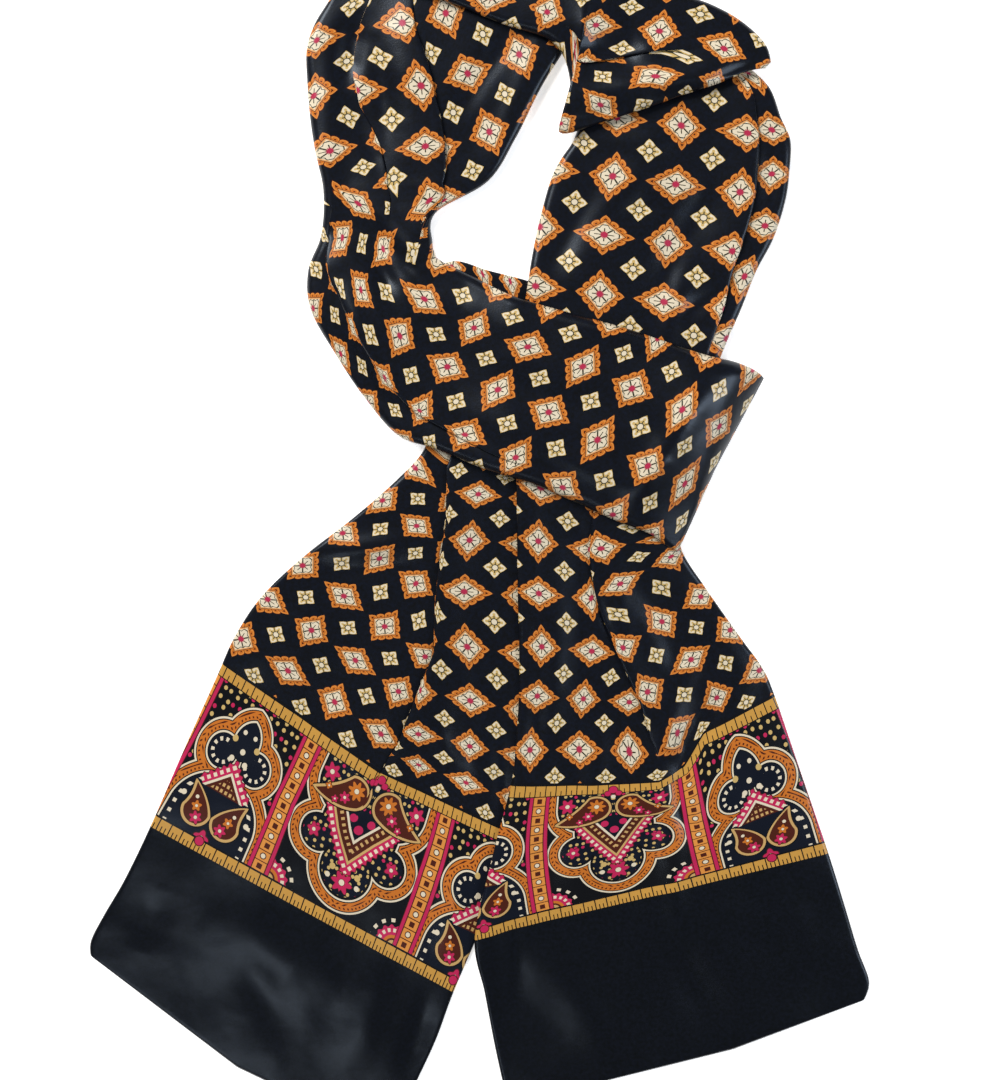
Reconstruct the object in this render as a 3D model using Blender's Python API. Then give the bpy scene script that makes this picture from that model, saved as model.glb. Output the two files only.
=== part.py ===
"""A long satin scarf tied in a loose loop and laid flat on a table.

The scarf is a flat tube of cloth. Each stretch that shows is one closed solid, lofted through
sections from a table of rows. A row gives the two edges of the cloth in plan, and most of the
shape between them: how thick the folded cloth is and where its folds step down. Stretches are
laid in order, and each one rests on those that lie under it.

Plan places and sizes are in millimetres, +X to the right and +Y away from the tails' hems.
"""
import math

import bmesh
import bpy
import numpy as np

# Driving sizes of the cloth, in millimetres
GAP = 0.4                 # clear space between two stretches that touch
SIDE_SHARE = 0.35         # height of a folded edge's side, as a share of its thickness
EDGE_SHARE = 0.9          # width of a folded edge's roll, as a share of its thickness
EDGE_STEPS = 3            # spans round each folded edge
HEM_ROLL = 2.5            # length over which the cloth thins at an end
SEAM = 0.02               # share of a row left clear each side of a seam between stretches
PLAN_CENTRE = (-14.23, -17.0)   # middle of the whole scarf in plan

# Table of what lies on the table top, as a square grid
GRID_STEP = 2.0
GRID_LOW = (-330.0, -480.0)
GRID_CELLS = (320, 460)
DRAPE_MARGIN = 5.0        # how far cloth bridges past the edge of what it covers

ROW_COLUMNS = ("x_out", "y_out", "x_mid", "y_mid", "x_in", "y_in", "thick_out", "thick_in", "crown")

# One lip of a fold, from the lower panel's side, as (distance, share of the step)
LIP = ((-0.5, 0.0), (0.5, 0.0), (None, 0.22), (0.5, 0.36), (0.0, 0.62), (0.25, 0.88), (1.0, 1.0))
LIP_FLAT_STEP = 0.5       # spacing of a lip's points where the fold has died out
LIP_CURL = 2.0            # largest radius of a fold's nose
LIP_FULL_STEP = 1.6       # step from which a fold is fully formed
LIP_REACH = 34.0          # how far the raised panel takes to come down again

NAVY = (0.012, 0.014, 0.022)
ORANGE_ON_BLACK = (0.16, 0.075, 0.035)

# Loop and front wrap: edges without a middle column are straight across
LOOP_LEFT = (
    # x_out, y_out, x_in, y_in, thick_out, thick_in, crown
    (-96, 364, -47, 410, 4, 4, 0),
    (-104, 357, 2, 396, 5, 5, 0),
    (-110, 348, 38, 372, 5, 5, 1),
    (-119, 334, 47, 350, 6, 6, 1),
    (-124, 319, 48, 331, 6, 6, 1),
    (-124, 300, 40, 317, 6, 6, 1),
    (-123, 281, 26, 295, 6, 6, 1),
    (-120, 257, 10, 264, 6, 6, 1),
    (-115, 231, -8, 237, 6, 6, 1),
    (-117, 203, -42, 217, 7, 7, 1),
    (-126, 180, -44, 198, 7, 7, 2),
    (-125, 155, -42, 190, 7, 7, 2),
    (-110, 127, -41, 188, 7, 7, 3),
    (-91, 98, -34, 184, 7, 7, 3),
    (-68, 72, -19, 177, 7, 7, 3),
    (-42, 63, 8, 164, 7, 7, 3),
    (-10, 50, 42, 154, 8, 8, 3),
    (20, 41, 79, 144, 8, 8, 4),
    (50, 28, 107, 135, 8, 9, 6),
    (76, 16, 134, 126, 8, 12, 7),
    (99, 7, 155, 121, 7, 12, 4),
    (112, -2, 169, 115, 4, 7, 2),
    (120, -6, 144, 50, 175, 110, 2, 2, 0),
)
SPLIT_ROW = 13            # the loop's left strand ends and the front wrap begins

LOOP_RIGHT = (
    # x_out, y_out, x_in, y_in, thick_out, thick_in, crown
    (162, 307, 58, 291, 4, 4, 0),
    (174, 295, 52, 275, 6, 6, 1),
    (181, 278, 47, 262, 6, 6, 1),
    (188, 263, 40, 252, 6, 6, 1),
    (188, 244, 34, 241, 6, 6, 1),
    (186, 225, 29, 225, 6, 6, 1),
    (179, 201, 24, 205, 6, 6, 1),
    (168, 179, 20, 184, 6, 6, 1),
    (159, 155, 17, 164, 6, 6, 1),
    (149, 132, 13, 142, 6, 6, 1),
    (140, 106, 10, 116, 5, 5, 1),
    (133, 79, 9, 92, 5, 5, 0),
    (129, 53, 9, 76, 5, 5, 0),
    (127, 30, 10, 62, 5, 5, 0),
)

LOOP_TOP = (
    # x_out, y_out, x_in, y_in, thick_out, thick_in, crown
    (-45, 411, -95, 363, 4, 4, 0),
    (-16, 404, -44, 351, 5, 5, 1),
    (16, 394, -2, 335, 5, 5, 1),
    (53, 381, 35, 321, 6, 6, 2),
    (61, 378, 45, 293, 6, 6, 3),
    (70, 374, 38, 267, 6, 6, 3),
    (88, 367, 67, 274, 6, 6, 3),
    (112, 355, 93, 282, 6, 6, 2),
    (135, 347, 116, 290, 6, 6, 1),
    (154, 337, 138, 297, 5, 5, 1),
    (169, 323, 158, 305, 4, 4, 0),
    (173, 311, 169, 307, 3, 3, 0),
)

BEHIND = (
    # x_out, y_out, x_in, y_in, thick_out, thick_in, crown
    (170, 103, 119, -3, 2, 2, 0),
    (133, 127, 95, 14, 3, 3, 0),
    (93, 147, 70, 30, 3, 3, 0),
    (53, 162, 50, 44, 3, 3, 0),
    (20, 173, 37, 54, 3, 3, 0),
    (-7, 180, 30, 59, 3, 3, 0),
    (-33, 186, 26, 61, 3, 3, 0),
    (-56, 168, 23, 60, 3, 3, 0),
    (-66, 138, 21, 57, 3, 3, 0),
    (-62, 104, 19, 53, 3, 3, 0),
    (-52, 78, 17, 48, 3, 3, 0),
)

TAIL_LEFT = (
    # x_out, y_out, x_mid, y_mid, x_in, y_in, thick_out, thick_in, crown
    (-52, 78, -38, 72, 17, 48, 3, 3, 0),
    (-51, 62, -37, 50, 17, 36, 4, 4, 0),
    (-71, 40, -36, 13, 19, 7, 4, 4, 1),
    (-101, 14, -37, -35, 20, -39, 3, 3, 1),
    (-132, -10, -43, -79, 21, -85, 3, 3, 0),
    (-162, -38, -59, -113, 19, -132, 3, 3, 0),
    (-182, -67, -71, -142, 15, -169, 3, 3, 0),
    (-196, -97, -80, -159, 6, -207, 3, 3, 0),
    (-219, -146, -105, -209, -8, -264, 3, 3, 0),
    (-245, -203, -137, -267, -33, -328, 3, 3, 0),
    (-265, -243, -156, -311, -46, -365, 3, 3, 0),
    (-281, -270, -170, -345, -60, -397, 3, 3, 0),
    (-291, -289, -183, -375, -73, -426, 3, 3, 0),
    (-292, -301, -190, -387, -80, -445, 3, 3, 0),
)

TAIL_RIGHT = (
    # x_out, y_out, x_mid, y_mid, x_in, y_in, thick_out, thick_in, crown
    (127, 30, 68, 46, 10, 62, 5, 5, 0),
    (124, 12, 58, 18, 11, 30, 5, 5, 0),
    (123, -6, 61, -42, 12, -37, 4, 4, 1),
    (141, -34, 78, -75, 13, -71, 3, 3, 1),
    (166, -69, 100, -112, 13, -107, 3, 3, 1),
    (180, -88, 112, -137, 11, -139, 3, 3, 1),
    (189, -107, 127, -156, 8, -170, 3, 3, 1),
    (209, -162, 138, -200, -6, -227, 3, 3, 1),
    (231, -223, 128, -250, -18, -286, 3, 3, 0),
    (244, -262, 141, -291, -11, -328, 3, 3, 0),
    (255, -296, 153, -327, -4, -369, 3, 3, 0),
    (264, -320, 163, -357, 3, -404, 3, 3, 0),
    (261, -335, 168, -373, 5, -417, 3, 3, 0),
)

# Folds: the lip faces the outer or the inner edge, and steps down to the panel on that side
FOLDS_LOOP_LEFT = (
    # the outer roll of the turn, which lies under the main panel
    ("out", (
        # row, place, step, tuck
        (9.0, 0.08, 0.0, 0),
        (10.0, 0.155, 3.0, 5),
        (11.0, 0.24, 4.0, 7),
        (12.0, 0.22, 4.0, 7),
        (14.0, 0.18, 4.0, 7),
        (15.0, 0.13, 3.5, 5),
        (16.0, 0.10, 2.0, 3),
        (17.0, 0.08, 0.0, 0),
    )),
    # the left panel of the strand, over the panel beside the hole
    ("in", (
        # row, place, step, tuck
        (2.0, 0.36, 0.0, 0),
        (3.5, 0.40, 3.0, 5),
        (5.0, 0.48, 4.0, 7),
        (6.0, 0.55, 4.0, 7),
        (7.0, 0.65, 3.5, 6),
        (8.0, 0.73, 3.0, 4),
        (9.0, 0.84, 0.0, 0),
    )),
)
FOLDS_LOOP_RIGHT = (
    # the main panel, over the layer that shows along the outer side
    ("out", (
        # row, place, step, tuck
        (0.5, 0.09, 0.0, 0),
        (2.0, 0.12, 3.0, 6),
        (3.0, 0.145, 3.5, 6),
        (6.0, 0.13, 3.5, 6),
        (8.0, 0.085, 2.5, 4),
        (9.5, 0.07, 0.0, 0),
    )),
)
FOLDS_TAIL_LEFT = (
    # the central panel, over the outer one
    ("out", (
        # row, place, step, tuck
        (0.0, 0.30, 0.0, 0),
        (1.0, 0.26, 3.0, 6),
        (2.0, 0.44, 4.0, 10),
        (4.0, 0.62, 4.0, 10),
        (6.0, 0.60, 3.0, 8),
        (7.0, 0.57, 1.5, 4),
        (8.0, 0.53, 0.0, 0),
    )),
)
FOLDS_TAIL_RIGHT = (
    # the outer panel, over the central one
    ("in", (
        # row, place, step, tuck
        (0.5, 0.52, 0.0, 0),
        (1.5, 0.56, 3.5, 7),
        (3.0, 0.53, 4.0, 9),
        (4.0, 0.50, 3.5, 8),
        (5.0, 0.50, 1.5, 4),
        (6.0, 0.48, 0.0, 0),
    )),
)

# Creases: soft ridges, or troughs where the height is negative, along straight lines in plan
CREASES_LOOP_LEFT = (
    # x0, y0, x1, y1, half_width, height
    (-92, 345, -99, 292, 9, -4.0),
    (-99, 296, -70, 228, 8, -2.5),
    (-111, 330, -112, 210, 9, 2.0),
    (-98, 236, -38, 178, 9, 2.0),
    (-108, 215, -50, 152, 7, -2.0),
    (138, 110, 108, 62, 10, 4.0),
    (118, 78, 84, 22, 10, 4.0),
    (22, 160, 132, 124, 7, 2.0),
    (-10, 120, 92, 84, 12, -2.0),
)
CREASES_LOOP_RIGHT = (
    # x0, y0, x1, y1, half_width, height
    (60, 250, 150, 222, 12, 1.5),
    (52, 200, 120, 236, 9, -1.5),
)
CREASES_LOOP_TOP = (
    # x0, y0, x1, y1, half_width, height
    (40, 316, 96, 322, 9, -4.0),
    (38, 288, 150, 304, 8, 3.0),
    (0, 372, 120, 340, 12, 1.5),
)
CREASES_TAIL_LEFT = (
    # x0, y0, x1, y1, half_width, height
    (-136, -8, -46, 0, 8, 2.5),
    (-128, -22, -50, -16, 8, -1.5),
    (-55, -120, -12, -185, 9, -1.5),
    (-30, -60, -18, -190, 10, 2.0),
)
CREASES_TAIL_RIGHT = (
    # x0, y0, x1, y1, half_width, height
    (40, -20, 34, -150, 12, 2.0),
    (140, -60, 104, -165, 9, 2.0),
    (118, -190, 128, -300, 10, 1.5),
    (152, -104, 124, -168, 9, -4.5),
    (124, -150, 136, -222, 10, -4.0),
)


class Pile:
    """How high the cloth lies already at each place of the table top."""

    def __init__(self):
        self.height = np.zeros(GRID_CELLS)

    def add(self, top):
        """Raises the pile to a stretch's top, given as stations of points."""
        steps = np.linspace(0.0, 1.0, 13)
        for along in steps:
            row = top[:-1] * (1.0 - along) + top[1:] * along
            for across in steps:
                points = (row[:, :-1] * (1.0 - across) + row[:, 1:] * across).reshape(-1, 3)
                column = np.rint((points[:, 0] - GRID_LOW[0]) / GRID_STEP).astype(int)
                line = np.rint((points[:, 1] - GRID_LOW[1]) / GRID_STEP).astype(int)
                np.maximum.at(self.height, (column, line), points[:, 2])

    def draped(self, radius):
        """The pile as a sheet that bridges its steps over the given distance."""
        wide = int((radius + DRAPE_MARGIN) / GRID_STEP)
        field = np.where(self.height > 0.0, self.height + GAP, 0.0)
        for axis in (0, 1):
            shifted = [np.roll(field, k, axis) for k in range(-wide, wide + 1)]
            field = np.max(shifted, axis=0)
        reach = int(radius / GRID_STEP)
        for axis in (0, 1):
            shifted = [np.roll(field, k, axis) for k in range(-reach, reach + 1)]
            field = np.mean(shifted, axis=0)
        return field


def sample(field, x, y):
    """The field's value at plan places, between its grid points."""
    column = (np.asarray(x) - GRID_LOW[0]) / GRID_STEP
    line = (np.asarray(y) - GRID_LOW[1]) / GRID_STEP
    c0 = np.floor(column).astype(int)
    l0 = np.floor(line).astype(int)
    fc = column - c0
    fl = line - l0
    low = field[c0, l0] * (1 - fc) + field[c0 + 1, l0] * fc
    high = field[c0, l0 + 1] * (1 - fc) + field[c0 + 1, l0 + 1] * fc
    return low * (1 - fl) + high * fl


def smooth(t):
    """Eases from 0 to 1."""
    t = min(max(t, 0.0), 1.0)
    return t * t * (3.0 - 2.0 * t)


def full_rows(rows):
    """Rows with a middle point, halfway across where the table gives none."""
    table = []
    for row in rows:
        if len(row) == len(ROW_COLUMNS):
            table.append(row)
        else:
            x_out, y_out, x_in, y_in = row[:4]
            middle = ((x_out + x_in) / 2, (y_out + y_in) / 2)
            table.append((x_out, y_out, *middle, x_in, y_in, *row[4:]))
    return np.array(table, float)


def row_at(table, place):
    """The row at a place between two rows, on a smooth curve through all of them."""
    last = len(table) - 1
    k = min(int(place), last - 1)
    t = place - k
    before = table[max(k - 1, 0)]
    after = table[min(k + 2, last)]
    start, end = table[k], table[k + 1]
    slope_start = (end - before) / 2
    slope_end = (after - start) / 2
    return ((2 * t**3 - 3 * t**2 + 1) * start + (t**3 - 2 * t**2 + t) * slope_start
            + (3 * t**2 - 2 * t**3) * end + (t**3 - t**2) * slope_end)


def fold_at(rows, place):
    """Place across, step and tuck of a fold at a row."""
    columns = list(zip(*rows))
    return [float(np.interp(place, columns[0], column)) for column in columns[1:]]


def lip_points(faces, where, step, tuck):
    """A fold's points across the cloth, as (distance, share of its step), outer edge first."""
    formed = smooth(step / LIP_FULL_STEP)
    curl = min(step / 2, LIP_CURL)
    middle = (len(LIP) - 1) / 2
    points = []
    for k, (distance, share) in enumerate(LIP):
        folded = max(tuck, curl) if distance is None else distance * curl
        flat = (k - middle) * LIP_FLAT_STEP
        points.append((where + flat + (folded - flat) * formed, share))
    if faces == "in":
        points = [(2 * where - distance, share) for distance, share in reversed(points)]
    return points


def profile(width, folds, panel_points, thick_out, thick_in):
    """The top across one station: distances, shares of each fold's step, and edge shares."""
    roll_out = EDGE_SHARE * thick_out
    roll_in = EDGE_SHARE * thick_in
    turn = [math.pi / 2 * k / EDGE_STEPS for k in range(EDGE_STEPS + 1)]
    across = [(roll_out * (1 - math.cos(a)), SIDE_SHARE + (1 - SIDE_SHARE) * math.sin(a)) for a in turn]
    points = [(distance, edge, None, None) for distance, edge in across]
    for number, (faces, where, step, tuck) in enumerate(folds):
        lip = lip_points(faces, where, step, tuck)
        low, high = points[-1][0], lip[0][0]
        count = panel_points[number]
        for k in range(1, count + 1):
            points.append((low + (high - low) * k / (count + 1), 1.0, None, None))
        points += [(distance, 1.0, number, share) for distance, share in lip]
    low, high = points[-1][0], width - roll_in
    count = panel_points[-1]
    for k in range(1, count + 1):
        points.append((low + (high - low) * k / (count + 1), 1.0, None, None))
    for a in reversed(turn):
        edge = SIDE_SHARE + (1 - SIDE_SHARE) * math.sin(a)
        points.append((width - roll_in * (1 - math.cos(a)), edge, None, None))
    return points


def raised_by_folds(distance, own, share, folds):
    """How much the folds lift one point of the top."""
    lift = 0.0
    for number, (faces, where, step, tuck) in enumerate(folds):
        if own == number:
            lift += share * step
            continue
        inward = distance - where
        upper = inward > 0 if faces == "out" else inward < 0
        if upper:
            lift += step * (1 - smooth((abs(inward) - LIP_CURL) / LIP_REACH))
    return lift


def crease_height(creases, x, y):
    """Sum of the creases' heights at plan places."""
    total = np.zeros(len(x))
    for x0, y0, x1, y1, half_width, height in creases:
        length = math.hypot(x1 - x0, y1 - y0)
        along = ((x - x0) * (x1 - x0) + (y - y0) * (y1 - y0)) / length
        off = ((x - x0) * (y1 - y0) - (y - y0) * (x1 - x0)) / length
        past = np.maximum(np.maximum(-along, along - length), 0.0)
        inside = np.clip(np.minimum(along, length - along) / (0.35 * length), 0.0, 1.0)
        total += height * inside * np.exp(-(off**2 + past**2) / half_width**2)
    return total


def plan_points(row, distances):
    """Plan places at distances from the outer edge, by way of the row's middle point."""
    outer, middle, inner = row[0:2], row[2:4], row[4:6]
    first = np.linalg.norm(middle - outer)
    second = np.linalg.norm(inner - middle)
    to_middle = outer + np.outer(distances / first, middle - outer)
    to_inner = middle + np.outer((distances - first) / second, inner - middle)
    return np.where((distances < first)[:, None], to_middle, to_inner)


class Stretch:
    """One stretch of the scarf, as stations of top and underside points."""

    def __init__(self, rows, folds, creases, panel_points, under_points, field):
        self.table = full_rows(rows)
        self.folds = folds
        self.creases = creases
        self.panel_points = panel_points
        self.under_points = under_points
        self.field = field

    def station(self, place, thinned):
        """Top and underside points at a row place, thinned towards an end."""
        row = row_at(self.table, place)
        width = np.linalg.norm(row[2:4] - row[0:2]) + np.linalg.norm(row[4:6] - row[2:4])
        thick_out, thick_in, crown = row[6:9]
        folds = []
        for faces, rows in self.folds:
            share, step, tuck = fold_at(rows, place)
            folds.append((faces, share * width, step, tuck))
        points = profile(width, folds, self.panel_points, thick_out, thick_in)
        distances = np.array([point[0] for point in points])
        plan = plan_points(row, distances)
        t = np.clip(distances / width, 0.0, 1.0)
        edges = np.array([point[1] for point in points])
        thick = (thick_out * (1 - t) + thick_in * t) * edges + crown * 4 * t * (1 - t)
        lift = np.array([raised_by_folds(d, own, share, folds) for d, _, own, share in points])
        inside = (edges - SIDE_SHARE) / (1 - SIDE_SHARE)
        crease = crease_height(self.creases, plan[:, 0], plan[:, 1]) * inside
        rise = (thick + lift + np.maximum(crease, 1.0 - thick)) * thinned
        top = np.column_stack([plan, sample(self.field, plan[:, 0], plan[:, 1]) + rise])
        inset = EDGE_SHARE * SIDE_SHARE
        beneath = np.linspace(inset * thick_out, width - inset * thick_in, self.under_points)
        plan = plan_points(row, beneath)
        under = np.column_stack([plan, sample(self.field, plan[:, 0], plan[:, 1])])
        return top, under

    def stations(self, places, rolled_start, rolled_end):
        """All stations, each end thinned like a soft hem where it is free."""
        tops, unders = [], []
        middles = [row_at(self.table, place)[2:4] for place in places]
        from_start = np.concatenate([[0.0], np.cumsum(np.linalg.norm(np.diff(middles, axis=0), axis=1))])
        from_end = from_start[-1] - from_start
        for place, start, end in zip(places, from_start, from_end):
            thinned = 1.0
            if rolled_start:
                thinned = min(thinned, SIDE_SHARE + (1 - SIDE_SHARE) * math.sin(
                    math.pi / 2 * min(start / HEM_ROLL, 1.0)))
            if rolled_end:
                thinned = min(thinned, SIDE_SHARE + (1 - SIDE_SHARE) * math.sin(
                    math.pi / 2 * min(end / HEM_ROLL, 1.0)))
            top, under = self.station(place, thinned)
            tops.append(top)
            unders.append(under)
        return np.array(tops), np.array(unders)


def places_between(first, last, per_row, hem=False):
    """Row places from first to last, with a few close ones at a hem."""
    count = int(round((last - first) * per_row))
    places = list(np.linspace(first, last, count + 1))
    if hem:
        places[-1:] = [last - 0.16, last - 0.06, last]
    return places


def make_solid(name, colour, tops, unders):
    """A closed solid from the stations' rings, with flat ends."""
    rings = []
    mesh = bmesh.new()
    for top, under in zip(tops, unders):
        ring = [*top, *under[::-1]]
        moved = [((x - PLAN_CENTRE[0]) / 1000, (y - PLAN_CENTRE[1]) / 1000, z / 1000) for x, y, z in ring]
        rings.append([mesh.verts.new(point) for point in moved])
    for ring, following in zip(rings, rings[1:]):
        for k in range(len(ring)):
            after = (k + 1) % len(ring)
            mesh.faces.new((ring[k], ring[after], following[after], following[k]))
    mesh.faces.new(rings[0])
    mesh.faces.new(rings[-1][::-1])
    bmesh.ops.triangulate(mesh, faces=mesh.faces[:], ngon_method="EAR_CLIP")
    bmesh.ops.recalc_face_normals(mesh, faces=mesh.faces[:])
    data = bpy.data.meshes.new(name)
    mesh.to_mesh(data)
    mesh.free()
    data.shade_smooth()
    scarf = bpy.data.objects.new(name, data)
    scarf.data.materials.append(satin(name, colour))
    bpy.context.scene.collection.objects.link(scarf)
    return scarf


def satin(name, colour):
    """The cloth's own colour, with a satin's low roughness."""
    material = bpy.data.materials.new(name + "_satin")
    material.use_nodes = True
    shader = material.node_tree.nodes["Principled BSDF"]
    shader.inputs["Base Color"].default_value = (*colour, 1.0)
    shader.inputs["Roughness"].default_value = 0.45
    shader.inputs["Metallic"].default_value = 0.0
    return material


def lay_scarf():
    """Lays the stretches in order, from the table top up."""
    pile = Pile()
    ground = pile.draped(10)

    behind = Stretch(BEHIND, (), (), (7,), 6, ground)
    tops, unders = behind.stations(places_between(0, len(BEHIND) - 1 - SEAM, 1.6), True, False)
    make_solid("back_wrap", ORANGE_ON_BLACK, tops, unders)

    tail = Stretch(TAIL_LEFT, FOLDS_TAIL_LEFT, CREASES_TAIL_LEFT, (6, 6), 6, ground)
    tail_places = places_between(SEAM, len(TAIL_LEFT) - 1, 1.8, hem=True)
    tail_tops, tail_unders = tail.stations(tail_places, False, True)
    make_solid("left_tail", NAVY, tail_tops, tail_unders)
    pile.add(tops)
    pile.add(tail_tops)

    over_back = pile.draped(14)
    strand = Stretch(LOOP_RIGHT, FOLDS_LOOP_RIGHT, CREASES_LOOP_RIGHT, (2, 9), 12, over_back)
    tops, unders = strand.stations(places_between(0, len(LOOP_RIGHT) - 1 - SEAM, 1.6), True, False)
    make_solid("neck_right", ORANGE_ON_BLACK, tops, unders)

    tail = Stretch(TAIL_RIGHT, FOLDS_TAIL_RIGHT, CREASES_TAIL_RIGHT, (7, 7), 16, over_back)
    tail_places = places_between(SEAM, len(TAIL_RIGHT) - 1, 1.8, hem=True)
    tail_tops, tail_unders = tail.stations(tail_places, False, True)
    make_solid("right_tail", NAVY, tail_tops, tail_unders)
    pile.add(tops)
    pile.add(tail_tops)

    over_tails = pile.draped(16)
    loop = Stretch(LOOP_LEFT, FOLDS_LOOP_LEFT, CREASES_LOOP_LEFT, (2, 5, 6), 14, over_tails)
    tops, unders = loop.stations(places_between(0, SPLIT_ROW - SEAM, 1.7), True, False)
    make_solid("neck_left", ORANGE_ON_BLACK, tops, unders)
    wrap_places = places_between(SPLIT_ROW + SEAM, len(LOOP_LEFT) - 1, 1.8)
    wrap_tops, wrap_unders = loop.stations(wrap_places, False, True)
    make_solid("front_wrap", ORANGE_ON_BLACK, wrap_tops, wrap_unders)
    pile.add(tops)
    pile.add(wrap_tops)

    over_strands = pile.draped(14)
    band = Stretch(LOOP_TOP, (), CREASES_LOOP_TOP, (12,), 12, over_strands)
    tops, unders = band.stations(places_between(0, len(LOOP_TOP) - 1, 1.8), True, True)
    make_solid("neck_back", ORANGE_ON_BLACK, tops, unders)


def clear_scene():
    """Removes whatever the scene starts with."""
    for thing in list(bpy.data.objects):
        bpy.data.objects.remove(thing)


clear_scene()
lay_scarf()
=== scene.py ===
"""Looks of a long printed satin scarf, tied in a loose loop and laid flat.

Each stretch of the scarf is an open tube of cloth, as thin as a sheet, on the form of its solid in
the frame. Its shape comes from tables of rows in plan millimetres, +X to the right and +Y away from
the hems. A second table gives each stretch the cloth's own coordinates, in cells of the printed
lattice: U across the scarf and V along it, from the border's upper gold band towards the neck.
"""

import math

import bpy
import numpy as np
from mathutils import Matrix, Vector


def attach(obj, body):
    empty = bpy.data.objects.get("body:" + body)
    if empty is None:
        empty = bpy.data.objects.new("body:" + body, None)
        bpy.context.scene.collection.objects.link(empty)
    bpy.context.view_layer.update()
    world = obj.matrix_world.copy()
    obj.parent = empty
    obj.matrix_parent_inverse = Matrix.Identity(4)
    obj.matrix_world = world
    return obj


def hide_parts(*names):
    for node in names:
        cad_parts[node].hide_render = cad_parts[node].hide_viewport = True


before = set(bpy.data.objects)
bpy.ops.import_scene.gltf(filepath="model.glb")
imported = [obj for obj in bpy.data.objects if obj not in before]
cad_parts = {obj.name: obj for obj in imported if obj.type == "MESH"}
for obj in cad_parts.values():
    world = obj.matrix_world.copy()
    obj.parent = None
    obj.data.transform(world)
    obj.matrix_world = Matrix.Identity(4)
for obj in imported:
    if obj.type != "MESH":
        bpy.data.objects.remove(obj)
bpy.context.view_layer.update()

# Sizes of the cloth, in millimetres
GAP = 0.4                 # between cloths that lie on one another
SIDE_SHARE = 0.35         # height of a rounded side's foot, as a share of the thickness
EDGE_SHARE = 0.9          # width of a rounded side, as a share of the thickness
EDGE_STEPS = 6
HEM_ROLL = 2.5            # length over which a free end rounds off
SEAM = 0.02               # between two stretches that meet, in rows
PLAN_CENTRE = (-14.23, -17.0)
CELL_UNDER = 42.0         # width of one printed cell on the underside

# Table of what lies on the table top, as a square grid
GRID_STEP = 2.0
GRID_LOW = (-330.0, -480.0)
GRID_CELLS = (320, 460)
DRAPE_MARGIN = 5.0

STATION_STEP = 2.6    # spacing of stations along the scarf
PANEL_STEP = 2.5      # spacing of points across a panel

# One lip of a fold, from the lower panel's side, as (distance, share of the step)
LIP = ((-0.5, 0.0), (0.5, 0.0), (None, 0.22), (0.5, 0.36), (0.0, 0.62), (0.25, 0.88), (1.0, 1.0))
LIP_PARTS = 3             # fine points to each part of a lip
LIP_TUCK_AT = 0.34        # share of a lip's points up to its tuck
LIP_FLAT_STEP = 0.5       # spacing of its coarse points where the fold runs out
LIP_CURL = 2.0            # greatest roundness of a lip
LIP_FULL_STEP = 1.6       # step of a fully formed lip
LIP_REACH = 34.0          # from a lip to where its panel has sunk back

# Columns of a row: x_out, y_out, x_mid, y_mid, x_in, y_in, thick_out, thick_in, crown.
# Rows without a middle point are straight across.
ROW_LENGTH = 9
LOOP_LEFT = (
    (-96, 364, -47, 410, 4, 4, 0),
    (-104, 357, 2, 396, 5, 5, 0),
    (-110, 348, 38, 372, 5, 5, 1),
    (-119, 334, 47, 350, 6, 6, 1),
    (-124, 319, 48, 331, 6, 6, 1),
    (-124, 300, 40, 317, 6, 6, 1),
    (-123, 281, 26, 295, 6, 6, 1),
    (-120, 257, 10, 264, 6, 6, 1),
    (-115, 231, -8, 237, 6, 6, 1),
    (-117, 203, -42, 217, 7, 7, 1),
    (-126, 180, -44, 198, 7, 7, 2),
    (-125, 155, -42, 190, 7, 7, 2),
    (-110, 127, -41, 188, 7, 7, 3),
    (-91, 98, -34, 184, 7, 7, 3),
    (-68, 72, -19, 177, 7, 7, 3),
    (-42, 63, 8, 164, 7, 7, 3),
    (-10, 50, 42, 154, 8, 8, 3),
    (20, 41, 79, 144, 8, 8, 4),
    (50, 28, 107, 135, 8, 9, 6),
    (76, 16, 134, 126, 8, 12, 7),
    (99, 7, 155, 121, 7, 12, 4),
    (112, -2, 169, 115, 4, 7, 2),
    (120, -6, 144, 50, 175, 110, 2, 2, 0),
)
LOOP_RIGHT = (
    (162, 307, 58, 291, 4, 4, 0),
    (174, 295, 52, 275, 6, 6, 1),
    (181, 278, 47, 262, 6, 6, 1),
    (188, 263, 40, 252, 6, 6, 1),
    (188, 244, 34, 241, 6, 6, 1),
    (186, 225, 29, 225, 6, 6, 1),
    (179, 201, 24, 205, 6, 6, 1),
    (168, 179, 20, 184, 6, 6, 1),
    (159, 155, 17, 164, 6, 6, 1),
    (149, 132, 13, 142, 6, 6, 1),
    (140, 106, 10, 116, 5, 5, 1),
    (133, 79, 9, 92, 5, 5, 0),
    (129, 53, 9, 76, 5, 5, 0),
    (127, 30, 10, 62, 5, 5, 0),
)
LOOP_TOP = (
    (-45, 411, -95, 363, 4, 4, 0),
    (-16, 404, -44, 351, 5, 5, 1),
    (16, 394, -2, 335, 5, 5, 1),
    (53, 381, 35, 321, 6, 6, 2),
    (61, 378, 45, 293, 6, 6, 3),
    (70, 374, 38, 267, 6, 6, 3),
    (88, 367, 67, 274, 6, 6, 3),
    (112, 355, 93, 282, 6, 6, 2),
    (135, 347, 116, 290, 6, 6, 1),
    (154, 337, 138, 297, 5, 5, 1),
    (169, 323, 158, 305, 4, 4, 0),
    (173, 311, 169, 307, 3, 3, 0),
)
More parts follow.
